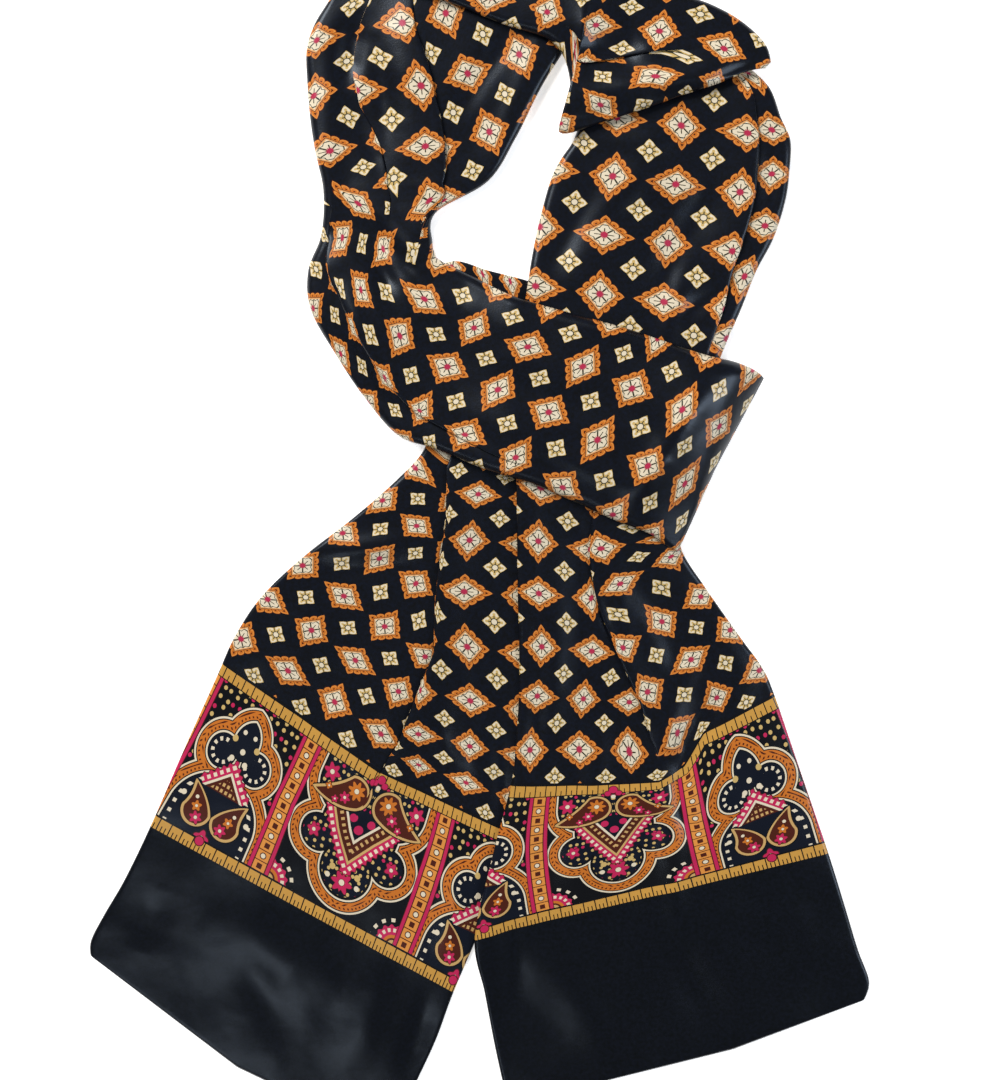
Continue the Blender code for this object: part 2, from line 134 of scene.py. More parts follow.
BEHIND = (
    (170, 103, 119, -3, 2, 2, 0),
    (133, 127, 95, 14, 3, 3, 0),
    (93, 147, 70, 30, 3, 3, 0),
    (53, 162, 50, 44, 3, 3, 0),
    (20, 173, 37, 54, 3, 3, 0),
    (-7, 180, 30, 59, 3, 3, 0),
    (-33, 186, 26, 61, 3, 3, 0),
    (-56, 168, 23, 60, 3, 3, 0),
    (-66, 138, 21, 57, 3, 3, 0),
    (-62, 104, 19, 53, 3, 3, 0),
    (-52, 78, 17, 48, 3, 3, 0),
)
TAIL_LEFT = (
    (-52, 78, -38, 72, 17, 48, 3, 3, 0),
    (-51, 62, -37, 50, 17, 36, 4, 4, 0),
    (-71, 40, -36, 13, 19, 7, 4, 4, 1),
    (-101, 14, -37, -35, 20, -39, 3, 3, 1),
    (-132, -10, -43, -79, 21, -85, 3, 3, 0),
    (-162, -38, -59, -113, 19, -132, 3, 3, 0),
    (-182, -67, -71, -142, 15, -169, 3, 3, 0),
    (-196, -97, -80, -159, 6, -207, 3, 3, 0),
    (-219, -146, -105, -209, -8, -264, 3, 3, 0),
    (-245, -203, -137, -267, -33, -328, 3, 3, 0),
    (-265, -243, -156, -311, -46, -365, 3, 3, 0),
    (-281, -270, -170, -345, -60, -397, 3, 3, 0),
    (-291, -289, -183, -375, -73, -426, 3, 3, 0),
    (-292, -301, -190, -387, -80, -445, 3, 3, 0),
)
TAIL_RIGHT = (
    (127, 30, 68, 46, 10, 62, 5, 5, 0),
    (124, 12, 58, 18, 11, 30, 5, 5, 0),
    (123, -6, 61, -42, 12, -37, 4, 4, 1),
    (141, -34, 78, -75, 13, -71, 3, 3, 1),
    (166, -69, 100, -112, 13, -107, 3, 3, 1),
    (180, -88, 112, -137, 11, -139, 3, 3, 1),
    (189, -107, 127, -156, 8, -170, 3, 3, 1),
    (209, -162, 138, -200, -6, -227, 3, 3, 1),
    (231, -223, 128, -250, -18, -286, 3, 3, 0),
    (244, -262, 141, -291, -11, -328, 3, 3, 0),
    (255, -296, 153, -327, -4, -369, 3, 3, 0),
    (264, -320, 163, -357, 3, -404, 3, 3, 0),
    (261, -335, 168, -373, 5, -417, 3, 3, 0),
)

# Folds: the lip faces the outer or the inner edge, and steps down to the panel on that side.
# Columns of a fold's row: row, place across, step, tuck. With no step it only marks the print.
FOLDS_LOOP_LEFT = (
    # the outer roll of the turn, which lies under the main panel
    ("out", (
        (9, 0.08, 0, 0), (10, 0.155, 3, 5), (11, 0.24, 4, 7), (12, 0.22, 4, 7), (14, 0.18, 4, 7),
        (15, 0.13, 3.5, 5), (16, 0.10, 2, 3), (17, 0.08, 0, 0),
    )),
    # the outer panel's inner limit on the strand, a shallow crease
    ("in", (
        (2, 0.19, 0, 0), (5, 0.18, 0, 0), (6, 0.22, 0.6, 1), (7, 0.33, 1.6, 3), (8, 0.39, 1.6, 3),
        (9, 0.60, 0, 0), (10, 0.66, 0, 0), (11, 0.50, 0, 0),
    )),
    # the left panel of the strand, over the panel beside the hole
    ("in", (
        (2, 0.36, 0, 0), (3.5, 0.40, 3, 5), (5, 0.48, 4, 7), (6, 0.55, 4, 7), (7, 0.65, 3.5, 6),
        (8, 0.73, 3, 4), (8.6, 0.90, 1, 2), (9, 0.97, 0, 0), (10, 0.885, 0, 0), (11, 0.80, 0, 0),
    )),
)
FOLDS_LOOP_RIGHT = (
    # the main panel, over the layer that shows along the outer side
    ("out", (
        (0.5, 0.09, 0, 0), (2, 0.12, 3, 6), (3, 0.145, 3.5, 6), (6, 0.13, 3.5, 6),
        (8, 0.085, 2.5, 4), (9.5, 0.07, 0, 0),
    )),
)
FOLDS_LOOP_TOP = (
    # the upper part of the neck band, over its pocket
    ("in", (
        (3, 0.80, 0, 0), (4, 0.66, 2, 4), (5, 0.60, 2.5, 5), (6, 0.58, 2.2, 4), (7, 0.52, 1.7, 3),
        (8, 0.50, 0, 0),
    )),
)
FOLDS_TAIL_LEFT = (
    # the central panel, over the outer one
    ("out", (
        (0, 0.30, 0, 0), (1, 0.26, 3, 6), (2, 0.44, 4, 10), (4, 0.62, 4, 10), (6, 0.60, 3, 8),
        (7, 0.57, 1.5, 4), (8, 0.53, 0, 0),
    )),
)
FOLDS_TAIL_RIGHT = (
    # where the print bends in the valley of the outer panel
    ("out", (
        (0, 0.20, 0, 0), (4, 0.20, 0, 0), (5, 0.27, 0, 0), (6, 0.30, 0, 0), (7, 0.32, 0, 0),
        (8, 0.33, 0, 0),
    )),
    # the outer panel, over the central one
    ("in", (
        (0.5, 0.52, 0, 0), (1.5, 0.56, 3.5, 7), (3, 0.53, 4, 9), (4, 0.50, 3.5, 8),
        (5, 0.50, 1.5, 4), (6, 0.48, 0, 0),
    )),
)

# Creases: soft ridges, or troughs where the height is negative, along straight lines in plan.
# Columns: x0, y0, x1, y1, half_width, height
CREASES_BEHIND = (
    (-30, 160, 20, 80, 10, -1.5), (90, 130, 60, 60, 12, 1.5),
)
CREASES_LOOP_LEFT = (
    (-92, 345, -99, 292, 9, -4), (-99, 296, -70, 228, 8, -2.5), (-111, 330, -112, 210, 9, 2),
    (-98, 236, -38, 178, 9, 2), (-108, 215, -50, 152, 7, -2), (138, 110, 108, 62, 10, 4),
    (118, 78, 84, 22, 10, 4), (22, 160, 132, 124, 7, 2), (-10, 120, 92, 84, 12, -2),
    (-102, 226, -40, 162, 6, -2.5), (-46, 171, 30, 130, 12, 2), (-113, 142, -67, 82, 7, -2.5),
    (-54, 92, 41, 48, 9, -2.2), (-30, 140, 70, 92, 10, 1.6), (-86, 214, -60, 118, 6, -1.8),
    (-104, 176, -80, 112, 6, 1.8), (60, 112, 118, 60, 8, -1.8), (20, 70, 96, 34, 7, 1.5),
    (-64, 335, -55, 239, 10, 2), (36, 345, -13, 239, 8, 2.2), (13, 337, -33, 272, 8, -2.2),
    (-20, 380, 24, 330, 9, 1.6), (-80, 330, -72, 250, 6, -1.8),
)
CREASES_LOOP_RIGHT = (
    (60, 250, 150, 222, 12, 1.5), (52, 200, 120, 236, 9, -1.5), (104, 272, 39, 158, 14, 1.8),
    (143, 252, 93, 142, 11, -2), (156, 174, 110, 146, 7, -2), (64, 238, 28, 172, 8, -1.6),
    (128, 214, 104, 110, 8, 1.6), (172, 266, 178, 208, 6, -1.6), (50, 264, 132, 262, 8, 1.4),
)
CREASES_LOOP_TOP = (
    (40, 316, 96, 322, 9, -4), (38, 288, 150, 304, 8, 3), (0, 372, 120, 340, 12, 1.5),
    (39, 272, 91, 284, 4, -2.2), (91, 284, 130, 297, 4, -2.2), (130, 297, 170, 313, 4, -1.8),
    (-14, 350, 150, 318, 14, 1.6), (60, 338, 110, 306, 7, 1.8), (0, 378, 60, 336, 8, -1.8),
)
CREASES_TAIL_LEFT = (
    (-136, -8, -46, 0, 8, 2.5), (-128, -22, -50, -16, 8, -1.5), (-55, -120, -12, -185, 9, -1.5),
    (-30, -60, -18, -190, 10, 2), (-124, -50, -190, -100, 14, 1.5),
    (-90, -75, -150, -135, 12, -1.6), (-64, -60, -82, -150, 9, 1.6),
    (-118, -155, -175, -236, 16, 1.5), (-70, -170, -120, -258, 14, -1.8),
    (-21, -221, -43, -303, 9, 2.2), (-206, -262, -112, -330, 20, 2.2),
    (-190, -290, -148, -372, 15, -2), (-84, -290, -104, -392, 14, 2), (-48, -320, -72, -404, 9, -2),
    (-240, -250, -256, -296, 14, -1.6), (0, -120, 4, -210, 7, -2),
)
CREASES_TAIL_RIGHT = (
    (40, -20, 34, -150, 12, 2), (140, -60, 104, -165, 9, 2), (118, -190, 128, -300, 10, 1.5),
    (152, -104, 124, -168, 9, -4.5), (124, -150, 136, -222, 10, -4), (130, -35, 176, -105, 10, 2),
    (180, -127, 212, -214, 12, 1.6), (105, -184, 99, -258, 12, -1.8), (42, -184, 56, -272, 14, 1.6),
    (43, -296, 73, -384, 18, 1.8), (113, -272, 156, -363, 16, -1.8),
    (197, -243, 226, -317, 14, 1.6), (64, -14, 84, -77, 7, -2.2), (30, -60, 22, -170, 6, -1.8),
    (70, -120, 62, -190, 9, 1.6), (4, -250, 14, -340, 10, -1.6), (92, -40, 120, -104, 8, 1.6),
)

# The cloth's coordinates. A row gives (U, V) at both sides of each panel, from the outer edge in,
# or once for a side that two panels share all the way across the row.
PRINT_LOOP_LEFT = (
    (3.1, -0.4, 3.2, -0.4, 3.2, -0.3, 3.6, -0.3, 3.6, 0.6, 4.2, 0.6, 5.5, -0.6, 6.8, -0.2),
    (3.1, 0, 3.2, 0, 3.2, 0.1, 3.7, 0.1, 3.6, 1.1, 4.2, 1, 5.5, 0, 7.6, 0.4),
    (3.1, 0.3, 3.3, 0.35, 3.3, 0.35, 3.8, 0.4, 3.6, 1.5, 4.25, 1.45, 5.55, 0.4, 8.25, 0.85),
    (2.9, 0.7, 3.3, 0.75, 3.3, 0.75, 3.7, 0.8, 3.35, 1.9, 4.2, 1.87, 5.45, 0.85, 8.25, 1.45),
    (2.8, 1.1, 3.2, 1.2, 3.2, 1.2, 3.65, 1.25, 3.2, 2.25, 4.2, 2.3, 5.4, 1.25, 8.1, 1.95),
    (2.85, 1.65, 3.2, 1.75, 3.2, 1.75, 3.6, 1.8, 3, 2.75, 4.2, 2.7, 5.4, 1.7, 7.75, 2.2),
    (2.9, 2.25, 3.2, 2.3, 3.2, 2.3, 3.75, 2.35, 3.05, 3.25, 4.2, 3.2, 5.3, 2.2, 7.15, 2.6),
    (2.8, 2.9, 3, 2.95, 3, 2.95, 3.85, 3.1, 3.3, 3.9, 4.3, 3.95, 5.2, 2.9, 6.4, 3.25),
    (2.75, 3.65, 2.95, 3.7, 2.95, 3.7, 3.75, 4.1, 3.4, 4.6, 4.25, 4.75, 5, 3.55, 5.7, 3.8),
    (1.4, 3.4, 1.75, 3.7, 1.75, 3.7, 3.3, 4.7, 3.3, 4.7, 4.12, 5.4, 4.8, 4.4, 4.9, 4.45),
    (0.3, 3.4, 0.75, 3.6, 1.4, 4.05, 3.1, 5.15, 3.1, 5.15, 3.63, 5.48, 3.63, 5.48, 3.9, 5.75),
    (-0.1, 3.95, 0.85, 4.35, 1.35, 4.5, 2.4, 5.22, 2.4, 5.22, 3.4, 5.64, 3.4, 5.64, 3.95, 5.92),
    (-0.2, 4.85, 0.85, 5.05, 1.2, 5.2, 2.25, 5.6, 2.25, 5.6, 3.35, 5.76, 3.35, 5.76, 3.95, 6),
    (0, 5.85, 0.95, 5.8, 1.1, 5.85, 2.15, 6.05, 2.15, 6.05, 3.22, 6, 3.22, 6, 3.9, 6.15),
    (0, 6.8, 0.85, 6.75, 0.95, 6.8, 2.05, 6.7, 2.05, 6.7, 3.22, 6.5, 3.22, 6.5, 3.93, 6.45),
    (0.5, 7.7, 0.89, 7.67, 0.95, 7.67, 2.1, 7.47, 2.1, 7.47, 3.2, 7.35, 3.2, 7.35, 3.93, 7.3),
    (0.53, 8.67, 0.87, 8.62, 2.15, 8.42, 3.18, 8.27, 3.88, 8.25),
    (0.72, 9.5, 0.98, 9.48, 2.3, 9.34, 3.26, 9.22, 3.93, 9.18),
    (0.84, 10.35, 1.18, 10.3, 2.4, 10.17, 3.31, 10.1, 4, 10.15),
    (0.9, 11.1, 1.2, 11.05, 2.45, 10.95, 3.31, 10.92, 3.9, 11),
    (1, 11.9, 1.3, 11.85, 2.5, 11.75, 3.4, 11.6, 4, 11.6),
    (1, 12.5, 1.3, 12.45, 2.5, 12.35, 3.4, 12.25, 4, 12.1),
    (1, 13, 1.3, 12.95, 2.5, 12.8, 3.4, 12.7, 4, 12.5),
)
PRINT_LOOP_RIGHT = (
    (5.2, 1.95, 4.8, 2, 2.8, 1.95, 0.55, 2.65),
    (5.2, 2.3, 4.8, 2.35, 3.08, 2.27, 0.45, 3.13),
    (5.25, 2.75, 4.78, 2.8, 3.16, 2.72, 0.33, 3.5),
    (5.3, 3.2, 4.75, 3.25, 3.19, 3.13, 0.15, 3.78),
    (5.3, 3.9, 4.75, 3.95, 3.24, 3.6, 0.06, 4.1),
    (5.3, 4.5, 4.78, 4.55, 3.24, 4.1, 0.04, 4.53),
    (5.2, 5.2, 4.7, 5.25, 3.16, 4.74, -0.04, 5.09),
    (5.2, 5.9, 4.75, 5.95, 3.05, 5.33, -0.09, 5.64),
    (5.1, 6.5, 4.8, 6.5, 2.94, 5.98, -0.14, 6.18),
    (5, 7.1, 4.8, 7.1, 2.79, 6.6, -0.19, 6.77),
    (4.9, 7.7, 4.8, 7.7, 2.75, 7.3, -0.22, 7.45),
    (4.8, 8.3, 4.7, 8.3, 2.7, 8, -0.2, 8.05),
    (4.7, 8.9, 4.6, 8.9, 2.65, 8.65, -0.25, 8.5),
    (4.6, 9.4, 4.5, 9.4, 2.6, 9.2, -0.25, 8.85),
)
PRINT_LOOP_TOP = (
    (-0.6, -2, 0.8, -1.95, 1, -1.9),
    (-0.6, -0.95, 0.65, -0.95, 0.9, -0.95),
    (-0.6, 0.05, 1.05, 0.2, 1.45, 0.25),
    (-0.6, 1.15, 1.1, 1.3, 1.5, 1.35),
    (-0.6, 1.55, 1.48, 1.69, 0.8, 2.4, 1.35, 1.6),
    (-0.55, 1.9, 1.85, 1.93, 1, 2.4, 2.17, 0.83),
    (-0.4, 2.5, 1.71, 2.49, 1.3, 3.05, 2.33, 1.82),
    (0.1, 3.1, 1.4, 3.1, 1.5, 3.4, 2.59, 2.5),
    (0.23, 3.6, 1.2, 3.65, 2.6, 3.4),
    (0.32, 4.1, 1, 4.1, 1.9, 4),
    (0.5, 4.6, 0.85, 4.6, 1.2, 4.6),
    (0.8, 4.9, 0.9, 4.9, 1, 4.9),
)
PRINT_BEHIND = [(-0.1, v, 3, v) for v in (0, 1, 2.1, 3.2, 4.3, 5.7, 7, 7.8, 8.6, 9.4, 10.1)]
PRINT_TAIL_LEFT = (
    (0.1, 7.3, 0.2, 7.4, 4.3, 8.2, 5.9, 8),
    (0, 6.5, 0.1, 6.6, 4.25, 7.5, 5.95, 7.3),
    (-0.12, 5.45, 1.3, 5.5, 4.5, 6.3, 6.05, 6.3),
    (-0.12, 4.3, 2.4, 4.2, 4.5, 4.95, 6.1, 5),
    (-0.12, 3.2, 3.05, 3.2, 4.35, 3.75, 6.1, 3.9),
    (-0.12, 2, 3.35, 2, 3.9, 2.7, 6.1, 2.7),
    (-0.12, 0.95, 3.35, 1.05, 3.6, 1.6, 6.05, 1.5),
    (-0.1, 0, 3.3, 0.5, 6.05, 0.35),
    (-0.05, -1.2, 3.2, -0.96, 5.9, -1.03),
    (0.1, -2.63, 3.05, -2.63, 5.9, -2.63),
    (0.05, -3.68, 3, -3.68, 5.95, -3.5),
    (0, -4.42, 3, -4.45, 6, -4.27),
    (0, -4.91, 2.97, -5.1, 6, -4.95),
    (0, -5.19, 2.95, -5.3, 6, -5.35),
)
PRINT_TAIL_RIGHT = (
    (-0.25, 6.5, 0.4, 6.5, 0.4, 6.5, 1, 6.5, 4.1, 6.5, 5.4, 6.5),
    (-0.25, 5.7, 0.25, 5.7, 0.25, 5.7, 1, 5.7, 4.1, 5.7, 5.4, 5.7),
    (-0.22, 4, 0.4, 3.98, 0.4, 3.98, 1.5, 3.95, 3.9, 3.95, 5.4, 3.9),
    (-0.2, 3.05, 0.7, 3.05, 0.7, 3.05, 2.15, 3.05, 3.55, 3.1, 5.45, 3),
    (-0.05, 1.65, 0.95, 1.75, 0.95, 1.75, 2.25, 1.87, 2.8, 2.05, 5.4, 2),
    (-0.08, 1.03, 1.35, 1, 2.55, 1.2, 5.3, 1.2),
    (-0.05, 0.38, 1.5, 0.12, 2.45, 0.8, 5.35, 0.38),
    (0.03, -1.02, 1.75, -1, 2.6, -1.05, 5.55, -1.02),
    (0, -2.63, 1.95, -2.63, 2.76, -2.63, 6, -2.63),
    (0, -3.6, 2, -3.6, 2.9, -3.6, 6, -3.6),
    (0, -4.4, 2, -4.4, 2.9, -4.4, 6, -4.4),
    (0, -5.1, 2, -5.05, 2.9, -5, 6, -4.95),
    (0, -5.35, 2, -5.32, 2.9, -5.3, 6, -5.25),
)


class Pile:
    """How high the cloth lies already at each place of the table top."""

    def __init__(self):
        self.height = np.zeros(GRID_CELLS)

    def add(self, top):
        """Raises the pile to a stretch's top, given as stations of points."""
        steps = np.linspace(0.0, 1.0, 4)
        for along in steps:
            row = top[:-1] * (1.0 - along) + top[1:] * along
            for across in steps:
                points = (row[:, :-1] * (1.0 - across) + row[:, 1:] * across).reshape(-1, 3)
                column = np.rint((points[:, 0] - GRID_LOW[0]) / GRID_STEP).astype(int)
                line = np.rint((points[:, 1] - GRID_LOW[1]) / GRID_STEP).astype(int)
                np.maximum.at(self.height, (column, line), points[:, 2])

    def draped(self, radius):
        """The pile as a sheet that bridges its steps over the given distance."""
        wide = int((radius + DRAPE_MARGIN) / GRID_STEP)
        field = np.where(self.height > 0.0, self.height + GAP, 0.0)
        for axis in (0, 1):
            shifted = [np.roll(field, k, axis) for k in range(-wide, wide + 1)]
            field = np.max(shifted, axis=0)
        reach = int(radius / GRID_STEP)
        for axis in (0, 1):
            shifted = [np.roll(field, k, axis) for k in range(-reach, reach + 1)]
            field = np.mean(shifted, axis=0)
        return field


def sample(field, x, y):
    """The field's value at plan places, between its grid points."""
    column = (np.asarray(x) - GRID_LOW[0]) / GRID_STEP
    line = (np.asarray(y) - GRID_LOW[1]) / GRID_STEP
    c0 = np.floor(column).astype(int)
    l0 = np.floor(line).astype(int)
    fc = column - c0
    fl = line - l0
    low = field[c0, l0] * (1 - fc) + field[c0 + 1, l0] * fc
    high = field[c0, l0 + 1] * (1 - fc) + field[c0 + 1, l0 + 1] * fc
    return low * (1 - fl) + high * fl


def smooth(t):
    """Eases from 0 to 1."""
    t = min(max(t, 0.0), 1.0)
    return t * t * (3.0 - 2.0 * t)


def full_rows(rows):
    """Rows with a middle point, halfway across where the table gives none."""
    table = []
    for row in rows:
        if len(row) == ROW_LENGTH:
            table.append(row)
        else:
            x_out, y_out, x_in, y_in = row[:4]
            table.append((x_out, y_out, (x_out + x_in) / 2, (y_out + y_in) / 2, x_in, y_in, *row[4:]))
    return np.array(table, float)


def full_print(row, panels):
    """A print row with both sides of each panel, also where its panels share them."""
    if len(row) == 4 * panels:
        return row
    sides = [row[k:k + 2] for k in range(0, len(row), 2)]
    return [number for pair in zip(sides, sides[1:]) for side in pair for number in side]


def row_at(table, place):
    """The row at a place between two rows, on a smooth curve through all of them."""
    last = len(table) - 1
    k = min(int(place), last - 1)
    t = place - k
    before = table[max(k - 1, 0)]
    after = table[min(k + 2, last)]
    start, end = table[k], table[k + 1]
    slope_start = (end - before) / 2
    slope_end = (after - start) / 2
    return ((2 * t**3 - 3 * t**2 + 1) * start + (t**3 - 2 * t**2 + t) * slope_start
            + (3 * t**2 - 2 * t**3) * end + (t**3 - t**2) * slope_end)


def fold_at(rows, place):
    """Place across, step and tuck of a fold at a row."""
    columns = list(zip(*rows))
    return [float(np.interp(place, columns[0], column)) for column in columns[1:]]


def lip_points(faces, where, step, tuck):
    """A fold's points across the cloth, as (distance, share of its step), outer edge first."""
    formed = smooth(step / LIP_FULL_STEP)
    curl = min(step / 2, LIP_CURL)
    middle = (len(LIP) - 1) / 2
    coarse = []
    for k, (distance, share) in enumerate(LIP):
        folded = max(tuck, curl) if distance is None else distance * curl
        flat = (k - middle) * LIP_FLAT_STEP
        coarse.append((where + flat + (folded - flat) * formed, share))
    coarse = np.array(coarse)
    fine = np.linspace(0, len(coarse) - 1, (len(coarse) - 1) * LIP_PARTS + 1)
    points = [tuple(row_at(coarse, place)) for place in fine]
    if faces == "in":
        points = [(2 * where - distance, share) for distance, share in reversed(points)]
    return points


def panel(low, high, count, number):
    """Points between two distances, ends left out, as (distance, edge, fold, share, panel)."""
    return [(low + (high - low) * k / (count + 1), 1.0, None, None, number) for k in range(1, count + 1)]


def profile(width, folds, counts, thick_out, thick_in):
    """The top across one station, as (distance, edge share, fold, share of its step, panel)."""
    roll_out = EDGE_SHARE * thick_out
    roll_in = EDGE_SHARE * thick_in
    turn = [math.pi / 2 * k / EDGE_STEPS for k in range(EDGE_STEPS + 1)]
    points = []
    for a in turn:
        edge = SIDE_SHARE + (1 - SIDE_SHARE) * math.sin(a)
        points.append((roll_out * (1 - math.cos(a)), edge, None, None, 0))
    for number, (faces, where, step, tuck) in enumerate(folds):
        lip = lip_points(faces, where, step, tuck)
        points += panel(points[-1][0], lip[0][0], counts[number], number)
        for k, (distance, share) in enumerate(lip):
            points.append((distance, 1.0, number, share, k / (len(lip) - 1)))
    points += panel(points[-1][0], width - roll_in, counts[-1], len(folds))
    for a in reversed(turn):
        edge = SIDE_SHARE + (1 - SIDE_SHARE) * math.sin(a)
        points.append((width - roll_in * (1 - math.cos(a)), edge, None, None, len(folds)))
    return points


def raised_by_folds(distance, own, share, folds):
    """How much the folds lift one point of the top."""
    lift = 0.0
    for number, (faces, where, step, tuck) in enumerate(folds):
        if own == number:
            lift += share * step
            continue
        inward = distance - where
        upper = inward > 0 if faces == "out" else inward < 0
        if upper:
            lift += step * (1 - smooth((abs(inward) - LIP_CURL) / LIP_REACH))
    return lift


def crease_height(creases, x, y):
    """Sum of the creases' heights at plan places."""
    total = np.zeros(len(x))
    for x0, y0, x1, y1, half_width, height in creases:
        length = math.hypot(x1 - x0, y1 - y0)
        along = ((x - x0) * (x1 - x0) + (y - y0) * (y1 - y0)) / length
        off = ((x - x0) * (y1 - y0) - (y - y0) * (x1 - x0)) / length
        past = np.maximum(np.maximum(-along, along - length), 0.0)
        inside = np.clip(np.minimum(along, length - along) / (0.35 * length), 0.0, 1.0)
        total += height * inside * np.exp(-(off**2 + past**2) / half_width**2)
    return total


def plan_points(row, distances):
    """Plan places at distances from the outer edge, by way of the row's middle point."""
    outer, middle, inner = row[0:2], row[2:4], row[4:6]
    first = np.linalg.norm(middle - outer)
    second = np.linalg.norm(inner - middle)
    to_middle = outer + np.outer(distances / first, middle - outer)
    to_inner = middle + np.outer((distances - first) / second, inner - middle)
    return np.where((distances < first)[:, None], to_middle, to_inner)


class Stretch:
    """One stretch of the scarf, as stations of points with the cloth's coordinates."""

    def __init__(self, rows, print_rows, folds, creases, field):
        self.table = full_rows(rows)
        self.print_table = np.array([full_print(row, len(folds) + 1) for row in print_rows], float)
        self.folds = folds
        self.creases = creases
        self.field = field
        widths = [self.width(row) for row in self.table]
        shares = [[fold_at(fold, k)[0] for k in range(len(self.table))] for _, fold in folds]
        limits = [[0.0] * len(widths), *shares, [1.0] * len(widths)]
        self.counts = []
        for low, high in zip(limits, limits[1:]):
            widest = max((b - a) * width for a, b, width in zip(low, high, widths))
            self.counts.append(max(3, int(widest / PANEL_STEP)))
        self.under_points = max(8, int(max(widths) / PANEL_STEP))

    @staticmethod
    def width(row):
        """The row's width, by way of its middle point."""
        return np.linalg.norm(row[2:4] - row[0:2]) + np.linalg.norm(row[4:6] - row[2:4])

    def places(self, first, last):
        """Row places from first to last, evenly spaced along the middle line."""
        fine = np.linspace(first, last, 1200)
        middles = np.array([row_at(self.table, place)[2:4] for place in fine])
        run = np.concatenate([[0.0], np.cumsum(np.linalg.norm(np.diff(middles, axis=0), axis=1))])
        count = max(4, int(run[-1] / STATION_STEP))
        even = np.linspace(0.0, run[-1], count + 1)
        near_end = run[-1] - np.array([1.9, 1.2, 0.6])
        near_start = np.array([0.6, 1.2, 1.9])
        stops = np.unique(np.concatenate([even, near_start, near_end]))
        return np.interp(stops, run, fine), stops, run[-1]

    def print_at(self, place, points, folds, width):
        """The cloth's coordinates at the points of one station's top."""
        row = row_at(self.print_table, place).reshape(-1, 2)
        limits = [0.0] + [where for _, where, _, _ in folds] + [width]

        def on_panel(number, distance):
            low, high = limits[number], limits[number + 1]
            t = (distance - low) / (high - low)
            return row[2 * number] * (1 - t) + row[2 * number + 1] * t

        cloth = []
        for distance, _, own, _, number in points:
            if own is None:
                cloth.append(on_panel(number, distance))
                continue
            faces, where, step, tuck = folds[own]
            formed = smooth(step / LIP_FULL_STEP)
            inward = 1 if faces == "out" else -1
            lower, upper = (own, own + 1) if faces == "out" else (own + 1, own)
            round_lip = number if faces == "out" else 1 - number
            if round_lip < LIP_TUCK_AT:
                folded = on_panel(lower, where + inward * tuck * round_lip / LIP_TUCK_AT)
            else:
                left = (1 - round_lip) / (1 - LIP_TUCK_AT)
                folded = on_panel(upper, where - inward * (step + tuck) * left)
            flat = on_panel(own if distance < where else own + 1, distance)
            cloth.append(flat * (1 - formed) + folded * formed)
        return np.array(cloth)

    def station(self, place, thinned):
        """Points round the tube at a row place, with their coordinates in the cloth."""
        row = row_at(self.table, place)
        width = self.width(row)
        thick_out, thick_in, crown = row[6:9]
        folds = []
        for faces, rows in self.folds:
            share, step, tuck = fold_at(rows, place)
            folds.append((faces, share * width, step, tuck))
        points = profile(width, folds, self.counts, thick_out, thick_in)
        distances = np.array([point[0] for point in points])
        plan = plan_points(row, distances)
        t = np.clip(distances / width, 0.0, 1.0)
        edges = np.array([point[1] for point in points])
        thick = (thick_out * (1 - t) + thick_in * t) * edges + crown * 4 * t * (1 - t)
        lift = np.array([raised_by_folds(d, own, share, folds) for d, _, own, share, _ in points])
        inside = (edges - SIDE_SHARE) / (1 - SIDE_SHARE)
        crease = crease_height(self.creases, plan[:, 0], plan[:, 1]) * inside
        rise = (thick + lift + np.maximum(crease, 1.0 - thick)) * thinned
        top = np.column_stack([plan, sample(self.field, plan[:, 0], plan[:, 1]) + rise])
        inset = EDGE_SHARE * SIDE_SHARE
        beneath = np.linspace(inset * thick_out, width - inset * thick_in, self.under_points)
        plan = plan_points(row, beneath)
        under = np.column_stack([plan, sample(self.field, plan[:, 0], plan[:, 1])])
        cloth = self.print_at(place, points, folds, width)
        from_inner = (width - beneath[::-1]) / CELL_UNDER
        turned = np.sign(cloth[-1, 0] - cloth[0, 0]) or 1.0
        back = np.column_stack([
            cloth[-1, 0] + turned * from_inner,
            np.interp(beneath[::-1], (0.0, width), (cloth[0, 1], cloth[-1, 1])),
        ])
        closing = (cloth[-1, 0] + turned * (width / CELL_UNDER + 0.05), cloth[0, 1])
        ring = np.vstack([top, under[::-1]])
        return ring, np.vstack([cloth, back, [closing]]), len(top)

    def stations(self, rolled_start, rolled_end):
        """All rings and their coordinates, and how many points of a ring are the top."""
        first = 0 if rolled_start else SEAM
        last = len(self.table) - 1 - (0 if rolled_end else SEAM)
        places, stops, run = self.places(first, last)
        rings, cloths = [], []
        for place, stop in zip(places, stops):
            thinned = 1.0
            for rolled, distance in ((rolled_start, stop), (rolled_end, run - stop)):
                if rolled:
                    turn = math.pi / 2 * min(distance / HEM_ROLL, 1.0)
                    thinned = min(thinned, SIDE_SHARE + (1 - SIDE_SHARE) * math.sin(turn))
            ring, cloth, top_count = self.station(place, thinned)
            rings.append(ring)
            cloths.append(cloth)
        return np.array(rings), np.array(cloths), top_count


